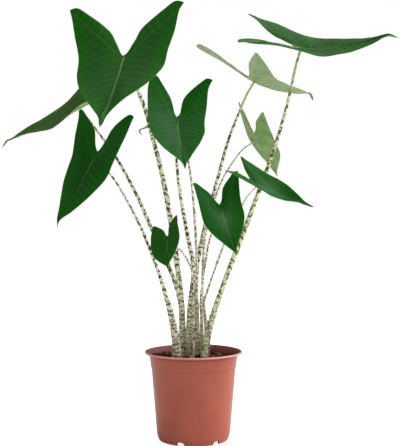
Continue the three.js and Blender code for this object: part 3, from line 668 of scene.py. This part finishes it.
def bladePoints(leaf, u, v, place, turn):
    # Where the points u, v of the flat blade lie. The midrib bends by the droop and its tip by the hook,
    # summed in 48 short steps; the lobes follow a plain arc; the halves fold up, round over and wave at the
    # edge.
    length = leaf["length"]
    perMm = math.radians(leaf["lobeDroop"]) / (sum(leaf["lobe"]) / 2)

    def bendAt(s):
        hook = leaf["hook"] * smoothStep((s / length - 0.86) / 0.07)
        return np.radians(leaf["droop"] * s / length + hook)

    steps = (np.arange(48) + 0.5) / 48
    front = np.maximum(v, 0)
    walked = bendAt(front[:, None] * steps)
    alongFront, offFront = front * np.cos(walked).mean(axis=1), -front * np.sin(walked).mean(axis=1)
    bend = np.where(v < 0, perMm * v, bendAt(front))
    alongBy = np.where(v < 0, np.sin(perMm * v) / perMm, alongFront)
    offBy = np.where(v < 0, (np.cos(perMm * v) - 1) / perMm, offFront)
    fold = leaf["lobeFold"] + (leaf["fold"] - leaf["lobeFold"]) * smoothStep(v / length / 0.6 + 0.5)
    fold = np.radians(fold)
    twist = np.radians(leaf["twist"]) * v / length
    wave = leaf["wave"] * place**3 * np.sin(6 * turn + int(leaf["name"]))
    rounded = np.sqrt(u * u + 2.2) - math.sqrt(2.2)  # |u| with a soft valley at the midrib
    rise = rounded * np.sin(fold) - leaf["camber"] * u * u / (sum(leaf["half"]) / 2) + wave
    side = u * np.cos(fold)
    lateral = side * np.cos(twist) - rise * np.sin(twist)
    height = side * np.sin(twist) + rise * np.cos(twist)
    across, along, off = leafAxes(leaf)
    return (
        np.array(leaf["at"])
        + lateral[:, None] * across
        + (alongBy + height * np.sin(bend))[:, None] * along
        + (offBy + height * np.cos(bend))[:, None] * off
    )


def veinFields(leaf, u, v, lobeEnds):
    # Distances from the midrib and from the lobes' main veins, as multiples of their half widths, and the
    # phase of the side veins, which are where it is a whole number. Side veins leave the midrib at about
    # 65 degrees and curve towards the tip; inside a lobe's main vein they run back and inwards.
    length, top = leaf["length"], leaf["stalk"][1]
    midrib = np.hypot(u, np.minimum(v, 0)) / (top * (1.05 - 0.8 * np.clip(v / length, 0, 1)))
    every = bladeLook["veinEvery"] * length
    half = sum(leaf["half"]) / 2
    front, rear = bladeLook["forward"]

    def phaseAt(u, v):
        forward = front - (front - rear) * smoothStep(-v / length)
        return (v - forward * np.abs(u) - 0.55 * u * u / (2 * half)) / every

    phase = phaseAt(u, v)
    costa = np.zeros(len(u))
    for lobeEnd, sign in zip(lobeEnds, (1, -1)):
        reach = np.linalg.norm(lobeEnd)
        way = lobeEnd / reach
        s = u * way[0] + v * way[1]
        d = sign * (u * way[1] - v * way[0])  # how far inwards from the lobe's main vein
        width = 0.72 * top * (1.05 - 0.85 * np.clip(s / reach, 0, 1))
        away = np.hypot(d, np.minimum(s, 0)) + 3 * np.maximum(s / reach - 0.9, 0) * width
        costa = np.where(u * sign >= 0, away / width, costa)
        inside = (u * sign >= 0) & (s > 0) & (d > 0)
        phase = np.where(inside, phaseAt(s * way[0], s * way[1]) + 0.45 * np.abs(d) / every, phase)
    return midrib, costa, phase


def buildBlade(leaf):
    # rings of points round the stalk's end, on rays to the edge; both sides share them
    q = [edgeSamples(leaf, side) for side in (0, 1)]
    right, left = (sideOutline(leaf, side, q[side]) for side in (0, 1))
    rim = np.concatenate([right, left[-2:0:-1] * (-1, 1)])
    turnRim = math.pi * np.concatenate([q[0], -q[1][-2:0:-1]])
    count = len(rim)
    # the lobes' main veins run on the rays that meet the edge a little before the lobe's end
    veinAt = [int(np.argmin(np.abs(q[side] - bladeLook["lobeVeinAt"]))) for side in (0, 1)]
    lobeEnds = [right[veinAt[0]], left[veinAt[1]] * (-1, 1)]

    length, top = leaf["length"], leaf["stalk"][1]
    rings = np.linspace(0, 1, bladeLook["rings"] + 1)[1:]
    rings = np.concatenate([rings[:-1], [1 - bladeLook["rimRing"] / length], [1]])
    u = np.concatenate([[0], (rings[:, None] * rim[:, 0]).ravel()])
    v = np.concatenate([[0], (rings[:, None] * rim[:, 1]).ravel()])
    place = np.concatenate([[0], np.repeat(rings, count)])
    turn = np.concatenate([[0], np.tile(turnRim, len(rings))])
    sheet = bladePoints(leaf, u, v, place, turn)

    # a point's normal is the sum, over the faces that meet there, of the cross product of their diagonals
    grid = sheet[1:].reshape(len(rings), count, 3)
    after = np.roll(grid, -1, axis=1)
    quads = np.cross(after[1:] - grid[:-1], grid[1:] - after[:-1])
    first = np.cross(after[0] - sheet[0], grid[0] - sheet[0])[None]
    cells = np.concatenate([first, quads])
    cells = cells + np.roll(cells, 1, axis=1)
    normals = np.concatenate([cells[:-1] + cells[1:], cells[-1:]]).reshape(-1, 3)
    normals = np.concatenate([cells[:1].sum(axis=1), normals])
    normals /= np.linalg.norm(normals, axis=1, keepdims=True)
    normals *= np.sign((normals @ leafAxes(leaf)[2]).sum())

    # margin is the distance from the edge
    edge = np.concatenate([
        sideOutline(leaf, side, np.linspace(0, 1, 300)) * (sign, 1) for side, sign in ((0, 1), (1, -1))
    ])
    margin = np.sqrt(((u[:, None] - edge[:, 0]) ** 2 + (v[:, None] - edge[:, 1]) ** 2).min(axis=1))
    margin[-count:] = 0
    midrib, costa, phase = veinFields(leaf, u, v, lobeEnds)

    # relief of the two sides, in mm: a slow unevenness that both share, side veins sunk in the upper side
    # and standing out below, a low pale ridge in a channel along the midrib, and round ribs underneath
    seed = int(leaf["name"])
    flat = pointsAt(u, v, 0)
    broad = softNoise(flat, 0.17 * length, seed) * smoothStep(place / 0.5)
    uneven = bladeLook["undulation"] * (broad + 0.35 * softNoise(flat, 0.07 * length, seed + 20))
    sideVein = 0.5 + 0.5 * np.cos(2 * math.pi * phase)  # soft ribs, with the veins in their valleys
    clear = smoothStep((midrib - 1) / 2) * smoothStep((costa - 1) / 2)
    scale = min(1, length / 150)
    groove = bladeLook["groove"] * scale * sideVein * clear * smoothStep(margin / 7)
    t = np.clip(v / length, 0, 1)
    main, lobes = bladeLook["ribs"]
    rib = main * top * (1 - 0.9 * t) * np.sqrt(np.clip(1 - midrib**2, 0, 1))
    lobeRib = lobes * top * (1 - 0.9 * place) * np.sqrt(np.clip(1 - costa**2, 0, 1))
    upper = 0.4 * scale * np.exp(-(midrib / 0.32) ** 2) - 0.5 * scale * np.exp(-(midrib / 1.1) ** 2)
    upper += (0.25 * np.exp(-(costa / 0.4) ** 2) - 0.35 * np.exp(-(costa / 1.2) ** 2)) * scale
    upper = upper * smoothStep(margin / 3) - groove
    lower = np.maximum(rib, lobeRib) * smoothStep(margin / 2) + 1.1 * groove
    half = bladeLook["edgeHalf"] + (bladeLook["half"] - bladeLook["edgeHalf"]) * smoothStep(margin / 4)
    middle = sheet + normals * uneven[:, None]
    points = np.concatenate([
        middle + normals * (half + upper)[:, None], middle - normals * (half + lower)[:, None],
    ])

    total = len(u)
    ring = np.arange(count) + 1
    body = gridFaces(len(rings), count, start=1)
    last = ring + (len(rings) - 1) * count
    nextOne = np.roll(last, -1)
    faces = [
        fanFaces(ring, 0)[:, ::-1], body, fanFaces(ring, 0) + total, body[:, ::-1] + total,
        np.stack([last, nextOne, nextOne + total, last + total], axis=1),
    ]
    fields = {
        "midrib": np.tile(midrib, 2), "costa": np.tile(costa, 2), "sideVein": np.tile(phase, 2),
        "margin": np.tile(margin, 2), "tip": np.tile(t, 2), "under": np.repeat([0.0, 1.0], total),
        "bladePlace": np.tile(pointsAt(u, v, 40 * seed), (2, 1)),
    }
    for field in ("paintedSheen", "warm", "bloom"):
        fields[field] = np.full(2 * total, float(leafTones[leaf["name"]][field]))
    name = "blade_" + leaf["name"]
    buildPiece("fine_" + name, points, faces, leafSkin, fields, name)


stalkLook = {
    "around": 40,  # faces round a stalk
    "ringEvery": 2.4,  # and along it, mm
    "lump": 0.03,  # uneven lumps, as a share of the radius
    "ridge": 0.014,  # fine lengthwise ridges
    "channel": 0.13,  # depth of the channel along the inner side
    "wing": 0.2,  # how far the edges of the sheathing wings stand out
    "wingTop": 95,  # the wings end this far above the lower end of a thick stalk, less on a thin one, mm
    "flareHeight": 190,  # the widening of the foot fades out over this height, mm
    "footFrom": 161,  # up to this height the bands are those of the foot, mm
    "footTo": 291,  # and above this height none is
    "footBands": 0.62,  # at the foot the bands lie at this share of their usual distance
    "footOlive": 0.35,  # are this much more olive
    "footTorn": 0.5,  # and are torn by shifts of this share of their distance
    "zigzag": (0.2, 0.36),  # the bands go up and down by this share of their distance: above, at the foot
    "teeth": 2,  # so many times round the stalk
    "bandsFade": 40,  # where the bands end they fade out over this height, mm
    "huskFrom": 186,  # up to this height the foot has its olive-brown skin, mm
    "huskTo": 276,  # and above this height none is left
}


def buildStalk(leaf):
    # a round section carried along the path, thinner towards the top, where a dome ends it under the blade
    foot, top = leaf["stalk"]
    tone = leafTones[leaf["name"]]
    end = np.array(leaf["at"]) - 0.3 * leafAxes(leaf)[2]
    fine, gone = evenly([*leaf["path"], end.tolist()], 700)
    length = gone[-1]
    rows = int(length / stalkLook["ringEvery"])
    domeRows = length - top + top * np.sin(np.radians(np.arange(15, 90, 15)))
    s = np.concatenate([np.linspace(0, length - top, rows), domeRows])
    centre, tangent = (
        pointsAt(*(np.interp(s, gone, column) for column in columns))
        for columns in (fine.T, [np.gradient(column, gone) for column in fine.T])
    )
    tangent /= np.linalg.norm(tangent, axis=1, keepdims=True)
    normal = np.array([1.0, 0, 0]) - tangent * tangent[:, :1]
    normal /= np.linalg.norm(normal, axis=1, keepdims=True)
    binormal = np.cross(tangent, normal)

    t = s / length
    height = centre[:, 2]
    radius = top + (foot - top) * (1 - t)
    radius += leaf["flare"] * (1 - smoothStep((height - leaf["path"][0][2]) / stalkLook["flareHeight"]))
    radius *= 1 + 0.12 * smoothStep((t - 0.97) / 0.03)
    dome = np.sqrt(1 - np.clip((s - (length - top)) / top, 0, 1) ** 2)
    around = stalkLook["around"]
    angle = np.arange(around) * 2 * math.pi / around
    seed = int(leaf["name"])
    # the inner side, towards the middle of the plant, carries a shallow channel and the wings of the sheath
    lean = np.array([fine[0][0] - fine[-1][0], fine[0][1] - fine[-1][1], 0])
    innerSide = math.atan2(lean @ binormal[0], lean @ normal[0])
    turn = (angle - innerSide + math.pi) % (2 * math.pi) - math.pi
    place = pointsAt(np.outer(radius, np.cos(angle)), np.outer(radius, np.sin(angle)), s[:, None])
    place = place.reshape(-1, 3)
    lumps = softNoise((place + (0, 0, 200 * seed)) * (1, 1, 0.4), 5.0, seed).reshape(len(s), -1)
    ridges = np.sin(13 * angle + seed) + np.sin(8 * angle + 2 * seed)
    shape = 1 + stalkLook["lump"] * lumps + stalkLook["ridge"] * ridges
    shape -= stalkLook["channel"] * np.outer(smoothStep(t / 0.3), np.exp(-(turn / 0.5) ** 2))
    wing = 1 - smoothStep(s / (stalkLook["wingTop"] * min(1, foot / 5)))
    wingShape = stalkLook["wing"] * np.exp(-((np.abs(turn) - 0.95) / 0.2) ** 2)
    shape += np.outer(wing, wingShape - 0.12 * np.exp(-(turn / 0.7) ** 2))
    outwards = np.cos(angle)[:, None] * normal[:, None] + np.sin(angle)[:, None] * binormal[:, None]
    points = (centre[:, None] + ((radius * dome)[:, None] * shape)[..., None] * outwards).reshape(-1, 3)
    points = np.concatenate([points, centre[:1], centre[-1:] + tangent[-1:] * 0.1])

    # the bands zigzag round the stalk, their teeth wander round it, and at the foot small shifts tear them
    low = 1 - smoothStep((height - stalkLook["footFrom"]) / (stalkLook["footTo"] - stalkLook["footFrom"]))
    every = tone["every"] * (1 - (1 - stalkLook["footBands"]) * low)
    phase = np.concatenate([[0], np.cumsum(np.diff(s) / every[1:])]) + 0.37 * seed
    teeth, (above, atFoot) = stalkLook["teeth"], stalkLook["zigzag"]
    x = teeth * angle / (2 * math.pi) + 0.8 * softNoise(pointsAt(0, 0, s), 26, seed + teeth)[:, None]
    zigzag = (above * (1 - low) + atFoot * low)[:, None] * (4 * np.abs(x - np.floor(x + 0.5)) - 1)
    torn = softNoise((place + (0, 0, 300 * seed)) * (1, 1, 0.6), 3.6, seed + 40)
    bandPhase = (phase[:, None] + zigzag).ravel() + stalkLook["footTorn"] * np.repeat(low, around) * torn
    fields = {
        "stalkPlace": np.concatenate([place, [[0, 0, 0], [0, 0, length]]]) + (0, 0, 700 * seed),
        "bandPhase": np.concatenate([bandPhase, [phase[0], phase[-1]]]),
    }
    huskFrom, huskTo = stalkLook["huskFrom"], stalkLook["huskTo"]
    rowFields = {
        "bands": 1 - smoothStep((height - tone["plainFrom"]) / stalkLook["bandsFade"]),
        "husk": tone["husk"] * (1 - smoothStep((height - huskFrom) / (huskTo - huskFrom))),
        "upper": smoothStep((t - 0.93) / 0.07),
        "marks": tone["marks"] * (1 - tone["footFade"] * low),
        "olive": tone["olive"] + stalkLook["footOlive"] * low,
        "pink": np.full(len(s), float(tone["pink"])),
        "green": np.full(len(s), float(tone["green"])),
    }
    for field, row in rowFields.items():
        fields[field] = np.concatenate([np.repeat(row, around), [row[0], row[-1]]])
    name = "petiole_" + leaf["name"]
    buildPiece("fine_" + name, points, tubeFaces(len(s), around), zebraStalk, fields, name)


sheathLook = {"columns": 28, "rows": 150, "thickness": 0.8, "pleat": 0.28, "pleats": 5}


def buildSheath(sheath):
    # a dry strip bent along its path, narrow and torn at the top, pleated along its fibres
    path, gone = evenly(sheath["path"], sheathLook["rows"])
    t = gone / gone[-1]
    x = np.linspace(-0.5, 0.5, sheathLook["columns"])
    bottomWidth, topWidth = sheath["width"]
    width = (bottomWidth + (topWidth - bottomWidth) * t) * (1 + 0.12 * np.sin(31 * t))
    torn = 0.3 * np.sin(23 * t + 1) * smoothStep((t - 0.5) / 0.5)
    across = np.outer(width, x) + torn[:, None]
    pleat = sheathLook["pleat"] * np.sin(2 * math.pi * sheathLook["pleats"] * x) * (0.4 + 0.6 * t[:, None])
    mid = path[:, None] + pointsAt(across, sheath["curl"] * across**2 + pleat, 0)
    # the strip is thickest in the middle of its width and at its lower end
    half = sheathLook["thickness"] / 2 * np.sqrt(np.clip(1.08 - (2 * x) ** 2, 0.03, 1))
    half = half * (1 - 0.55 * t[:, None])
    shift = pointsAt(0, half, 0)
    ring = np.concatenate([mid - shift, (mid + shift)[:, ::-1]], axis=1)
    rows, columns = ring.shape[:2]
    points = np.concatenate([ring.reshape(-1, 3), ring[0].mean(axis=0)[None], ring[-1].mean(axis=0)[None]])
    around = np.concatenate([across, across[:, ::-1]], axis=1)
    fibre = pointsAt(around, 0, gone[:, None]).reshape(-1, 3)
    fibre = np.concatenate([fibre, [[0, 0, 0], [0, 0, gone[-1]]]]) + (0, len(sheath["name"]), 0)
    name = sheath["name"]
    faces = tubeFaces(rows, columns)
    buildPiece("fine_" + name, points, faces, driedSheath, {"fibrePlace": fibre}, name)


def roundedProfile(corners):
    # a section's corners (radius, height, rounding) joined by straight runs and small curves, then divided
    points = []
    for i, (r, z, bend) in enumerate(corners):
        here = np.array([r, z], float)
        if bend == 0:
            points.append(here)
            continue
        before, after = (np.array(corners[k][:2], float) - here for k in (i - 1, i + 1))
        a, b = (here + d / np.linalg.norm(d) * min(bend, 0.48 * np.linalg.norm(d)) for d in (before, after))
        for w in (0, 0.25, 0.5, 0.75, 1):
            points.append((1 - w) ** 2 * a + 2 * w * (1 - w) * here + w * w * b)
    fine = [np.array(points[:1])]
    for a, b in itertools.pairwise(points):
        n = max(1, int(np.linalg.norm(b - a) / 4.5))
        fine.append(a + (b - a) * (np.arange(1, n + 1) / n)[:, None])
    return np.concatenate(fine)


def turnedMesh(profile, sides):
    # a profile turned about Z, whose first and last points lie on the axis
    angle = np.arange(sides) * 2 * math.pi / sides
    r, z = profile[1:-1, 0], profile[1:-1, 1]
    points = pointsAt(np.outer(r, np.cos(angle)), np.outer(r, np.sin(angle)), z[:, None])
    points = np.concatenate([points.reshape(-1, 3), [[0, 0, profile[0, 1]], [0, 0, profile[-1, 1]]]])
    return points, tubeFaces(len(r), sides)


def archAt(angle):
    # an arched cutter for a drain notch, through the foot ring at its angle in degrees
    p = potLook
    shoulder = 0.45 * p["notchHeight"]
    turn = np.linspace(0, math.pi, 13)
    x = np.concatenate([[-p["notchWidth"] / 2], -p["notchWidth"] / 2 * np.cos(turn), [p["notchWidth"] / 2]])
    z = np.concatenate([[-1], shoulder + (p["notchHeight"] - shoulder) * np.sin(turn), [-1]])
    near, far = p["footInner"] - 1.4, p["foot"] + 4
    points = np.concatenate([pointsAt(x, -y, z) for y in (near, far)])
    c, s = math.cos(math.radians(angle)), math.sin(math.radians(angle))
    return points @ np.array([[c, s, 0], [-s, c, 0], [0, 0, 1]]), len(x)


def drillAt(angle):
    # a round cutter for a drain hole in the floor, at its angle in degrees
    turn = np.arange(28) * 2 * math.pi / 28
    x = potLook["holeRing"] * math.cos(math.radians(angle)) + potLook["holeRadius"] * np.cos(turn)
    y = potLook["holeRing"] * math.sin(math.radians(angle)) + potLook["holeRadius"] * np.sin(turn)
    return np.concatenate([pointsAt(x, y, z) for z in (3, 13)]), len(x)


def buildPot():
    # the profile turned about Z, a little out of round, with the notches and holes cut out
    p = potLook
    height, lip, lipInner, foot, footInner, wall = (
        p[key] for key in ("height", "lipRadius", "lipInnerRadius", "foot", "footInner", "wall")
    )
    lipBottom = height - p["lipHeight"]
    floorTop = p["footHeight"] + p["floor"]
    profile = roundedProfile([
        (0, 0, 0), (p["centreFoot"], 0, 0.8), (p["centreFoot"], p["footHeight"], 0.6),
        (footInner, p["footHeight"], 0.6), (footInner, 0, 0.5), (foot, 0, 0.9),
        (p["wallBottom"], p["chamfer"], 3), (p["wallTop"], p["collarFrom"] - 2, 1.2),
        (p["collarBottom"], p["collarFrom"], 1.2), (p["collarTop"], lipBottom - 1, 1.5),
        (lipInner, lipBottom + 1, 1.2), (lip - 0.8, height - 3.4, 0.7), (lip, height - 2.2, 0.8),
        (lip - 0.8, height - 0.6, 0.7), (lip - 2.4, height, 0.7), (lipInner, height - 1, 1),
        (p["collarTop"] - wall, lipBottom - 3, 3), (p["collarBottom"] - wall, p["collarFrom"], 1.2),
        (p["wallTop"] - wall, p["collarFrom"] - 2, 1.2), (p["wallBottom"] - wall, p["chamfer"], 3),
        (foot - wall, floorTop, 2), (0, floorTop, 0),
    ])
    points, faces = turnedMesh(profile, p["sides"])
    # the thin wall is a little out of round, more so towards the top
    angle = np.arctan2(points[:, 1], points[:, 0])
    reach = np.hypot(points[:, 0], points[:, 1])
    ringPlace = pointsAt(np.cos(angle) * 60, np.sin(angle) * 60, points[:, 2] * 0.4)
    swell = p["unround"] * softNoise(ringPlace, 42, 3)
    swell *= smoothStep(points[:, 2] / 60) * smoothStep(reach / 50)
    points[:, :2] *= (1 + swell / np.maximum(reach, 1))[:, None]
    pot = buildPiece("fine_pot", points, faces, terracottaPlastic, {}, "pot")

    cutterPoints, cutterFaces, start = [], [], 0
    cutters = [archAt(p["firstNotch"] + 360 / p["notches"] * i) for i in range(p["notches"])]
    cutters += [drillAt(360 / p["holes"] * i) for i in range(p["holes"])]
    for shape, n in cutters:
        i = np.arange(n)
        k = (i + 1) % n
        cutterPoints.append(shape)
        walls = np.stack([i, k, k + n, i + n], axis=1)
        cutterFaces += [f.tolist() for group in (walls, i[None, ::-1], i[None] + n) for f in group + start]
        start += len(shape)
    mesh = bpy.data.meshes.new("cutter")
    mesh.from_pydata((np.concatenate(cutterPoints) * mm).tolist(), [], cutterFaces)
    cutter = bpy.data.objects.new("cutter", mesh)
    bpy.context.collection.objects.link(cutter)
    # the arches and drills are wound either way, so their faces are turned out together
    bpy.context.view_layer.objects.active = cutter
    cutter.select_set(True)
    bpy.ops.object.mode_set(mode="EDIT")
    bpy.ops.mesh.select_all(action="SELECT")
    bpy.ops.mesh.normals_make_consistent(inside=False)
    bpy.ops.object.mode_set(mode="OBJECT")
    cut = pot.modifiers.new("drainage", "BOOLEAN")
    cut.operation, cut.solver, cut.object = "DIFFERENCE", "EXACT", cutter
    drained = bpy.data.meshes.new_from_object(pot.evaluated_get(bpy.context.evaluated_depsgraph_get()))
    pot.modifiers.clear()
    pot.data = drained
    bpy.data.objects.remove(cutter)


soilLook = {
    "top": 140.5, "mound": 1.5, "relief": 1.2, "radius": 73.4, "rings": 70, "sides": 220,
    "bank": 5.5,  # how much higher the soil lies against the pot's left and right sides, mm
    "lump": 1.5,  # height of the small lumps, mm
    "crumbs": 760,  # loose crumbs, each of 20 faces
    "crumbSize": (0.7, 2.6),  # their radii, mm
}


def soilHeight(x, y):
    # a low mound with broad lumps, flat at the wall apart from the banks at the left and right
    k = soilLook
    away = np.hypot(x, y) / k["radius"]
    broad = np.sin(0.13 * x + 0.9) * np.cos(0.11 * y - 0.4) + 0.6 * np.sin(0.23 * (x + y))
    bank = k["bank"] * np.clip(np.abs(x) / k["radius"], 0, 1) ** 7
    return k["top"] + k["mound"] * (1 - away**2) + k["relief"] * broad * (1 - away**4) + bank


def buildSoil():
    # the soil is a turned body whose top rings carry lumps, with crumbs lying on it
    k = soilLook
    top = k["radius"]
    sideProfile = [(0, 9.8), (58.3, 9.8), (61.3, 10.3), (70.6, 119), (71.8, 123), (top, k["top"])]
    inwards = top * (1 - np.arange(1, k["rings"] + 1) / k["rings"])
    topRings = np.stack([inwards, np.full(k["rings"], k["top"])], axis=1)
    points, faces = turnedMesh(np.concatenate([sideProfile, topRings]), k["sides"])
    onTop = points[:, 2] > k["top"] - 0.01
    x, y = points[onTop, 0], points[onTop, 1]
    flat = pointsAt(x, y, 0)
    small = softNoise(flat, 5.5, 1) + 0.6 * softNoise(flat, 2.6, 2) + 0.35 * softNoise(flat, 1.4, 5)
    wallClear = smoothStep((top - np.hypot(x, y)) / 3)
    points[onTop, 2] = soilHeight(x, y) + k["lump"] * small * wallClear - 0.6

    # a crumb is an icosahedron with uneven corners, turned and sized at random
    random = np.random.default_rng(7)
    n = k["crumbs"]
    gold = (1 + math.sqrt(5)) / 2
    corners = np.array([(s, t * gold, 0) for s, t in itertools.product((1, -1), repeat=2)])
    corners = np.concatenate([corners, np.roll(corners, 1, axis=1), np.roll(corners, 2, axis=1)])
    corners /= math.hypot(1, gold)
    hull = []
    for i, j, m in itertools.combinations(range(12), 3):
        a, b, c = corners[[i, j, m]]
        if max(np.linalg.norm(a - b), np.linalg.norm(b - c), np.linalg.norm(a - c)) < 1.2:
            hull.append((i, j, m) if np.cross(b - a, c - a) @ a > 0 else (i, m, j))
    spot = top * np.sqrt(random.uniform(0.0, 0.94, n))
    way = random.uniform(0, 2 * math.pi, n)
    cx, cy = spot * np.cos(way), spot * np.sin(way)
    smallest, largestSize = k["crumbSize"]
    size = smallest + (largestSize - smallest) * random.uniform(0, 1, n) ** 2.6
    stretch = random.uniform(0.6, 1.4, (n, 1, 3)) * size[:, None, None]
    uneven = random.uniform(0.72, 1.2, (n, 12, 1))
    turns = np.linalg.qr(random.normal(size=(n, 3, 3)))[0]
    turns *= np.sign(np.linalg.det(turns))[:, None, None]
    crumbs = (corners[None] * uneven * stretch) @ turns
    flat = pointsAt(cx, cy, 0)
    small = softNoise(flat, 5.5, 1) + 0.6 * softNoise(flat, 2.6, 2)
    ground = soilHeight(cx, cy) + k["lump"] * small - 0.5
    crumbs += pointsAt(cx, cy, ground + 0.25 * size)[:, None]
    crumbFaces = (np.array(hull)[None] + (np.arange(n) * 12)[:, None, None]).reshape(-1, 3) + len(points)
    tone = np.concatenate([np.zeros(len(points)), np.repeat(random.uniform(0, 1, n), 12)])
    points = np.concatenate([points, crumbs.reshape(-1, 3)])
    buildPiece("fine_soil", points, [*faces, crumbFaces], pottingSoil, {"crumb": tone}, "soil")


buildPot()
print("pot built")
buildSoil()
print("soil built")
for leaf in leaves:
    buildBlade(leaf)
    buildStalk(leaf)
print("leaves and stalks built")
for sheath in sheaths:
    buildSheath(sheath)
print("sheaths built")


# The studio: a white floor that glows a little, so that it reads as white and lights the leaves from below,
# a white backdrop, a large soft box high on the right, a weaker one overhead behind the plant, and two
# faint ones, left of the camera and far left. The left stays dim, which keeps the leaves a deep green.
studio = {
    "floorRadius": 6.0, "floorSides": 96, "floorTone": 0.74, "floorRoughness": 0.9,
    "floorGlow": 0.05, "floorSeen": 0.8,  # its glow on the plant, and as the camera sees it
    "roomLight": 0.13, "roomSeen": 1.0,
    # degrees from the camera's side of the plant to the right, degrees above the floor, brightness, and the
    # cosines of the angles off the middle at which a box fades out and is at its full brightness
    "boxes": (
        {"toRight": 93, "above": 40, "power": 2.3, "fades": 0.66, "full": 0.81},
        {"toRight": 150, "above": 75, "power": 0.65, "fades": 0.74, "full": 0.9},
        {"toRight": -25, "above": 25, "power": 0.22, "fades": 0.5, "full": 0.93},
        {"toRight": -86, "above": 25, "power": 0.36, "fades": 0.74, "full": 0.8},
    ),
}

paleFloor, tree, shader = newMaterial("white matt floor")
place = addNode(tree, "TexCoord", {}, {}, 3)
dust = addNode(tree, "TexNoise", {}, {"Vector": place, "Scale": 3})
tone = studio["floorTone"]
floorTone = addNode(tree, "MapRange", {}, (dust, 0, 1, tone - 0.01, tone + 0.01))
seen = addNode(tree, "LightPath", {}, {})
floorGlow = addNode(tree, "Mix", numberMix, {0: seen, 2: studio["floorGlow"], 3: studio["floorSeen"]})
connect(tree, shader, {
    "Base Color": floorTone, "Roughness": studio["floorRoughness"],
    "Emission Color": "#ffffff", "Emission Strength": floorGlow,
})
turn = np.arange(studio["floorSides"]) * 2 * math.pi / studio["floorSides"]
rim = pointsAt(np.cos(turn), np.sin(turn), 0) * studio["floorRadius"]
rim -= (0, 0, 0.2 * mm)  # the floor lies just under the pot's foot
floorMesh = bpy.data.meshes.new("floor")
floorMesh.from_pydata(rim.tolist(), [], [list(range(len(rim)))])
floorMesh.materials.append(paleFloor)
floor = bpy.data.objects.new("floor", floorMesh)
bpy.context.collection.objects.link(floor)

world = bpy.data.worlds.new("studio")
bpy.context.scene.world = world
world.use_nodes = True
tree = world.node_tree
background = next(node for node in tree.nodes if node.type == "BACKGROUND")
direction = addNode(tree, "TexCoord", {}, {})
glow = studio["roomLight"]
for box in studio["boxes"]:
    right, above = math.radians(box["toRight"]), math.radians(box["above"])
    middle = (math.sin(right) * math.cos(above), -math.cos(right) * math.cos(above), math.sin(above))
    nearness = addNode(tree, "VectorMath", dotProduct, (direction, middle), 1)
    light = addNode(tree, "MapRange", softRamp, (nearness, box["fades"], box["full"], 0, box["power"]))
    glow = addNode(tree, "Math", {"operation": "ADD"}, (light, glow))
seen = addNode(tree, "LightPath", {}, {})
strength = addNode(tree, "Mix", numberMix, {0: seen, 2: glow, 3: studio["roomSeen"]})
connect(tree, background, {"Color": "#ffffff", "Strength": strength})
bpy.context.scene.view_settings.view_transform = "Standard"
print("studio set")
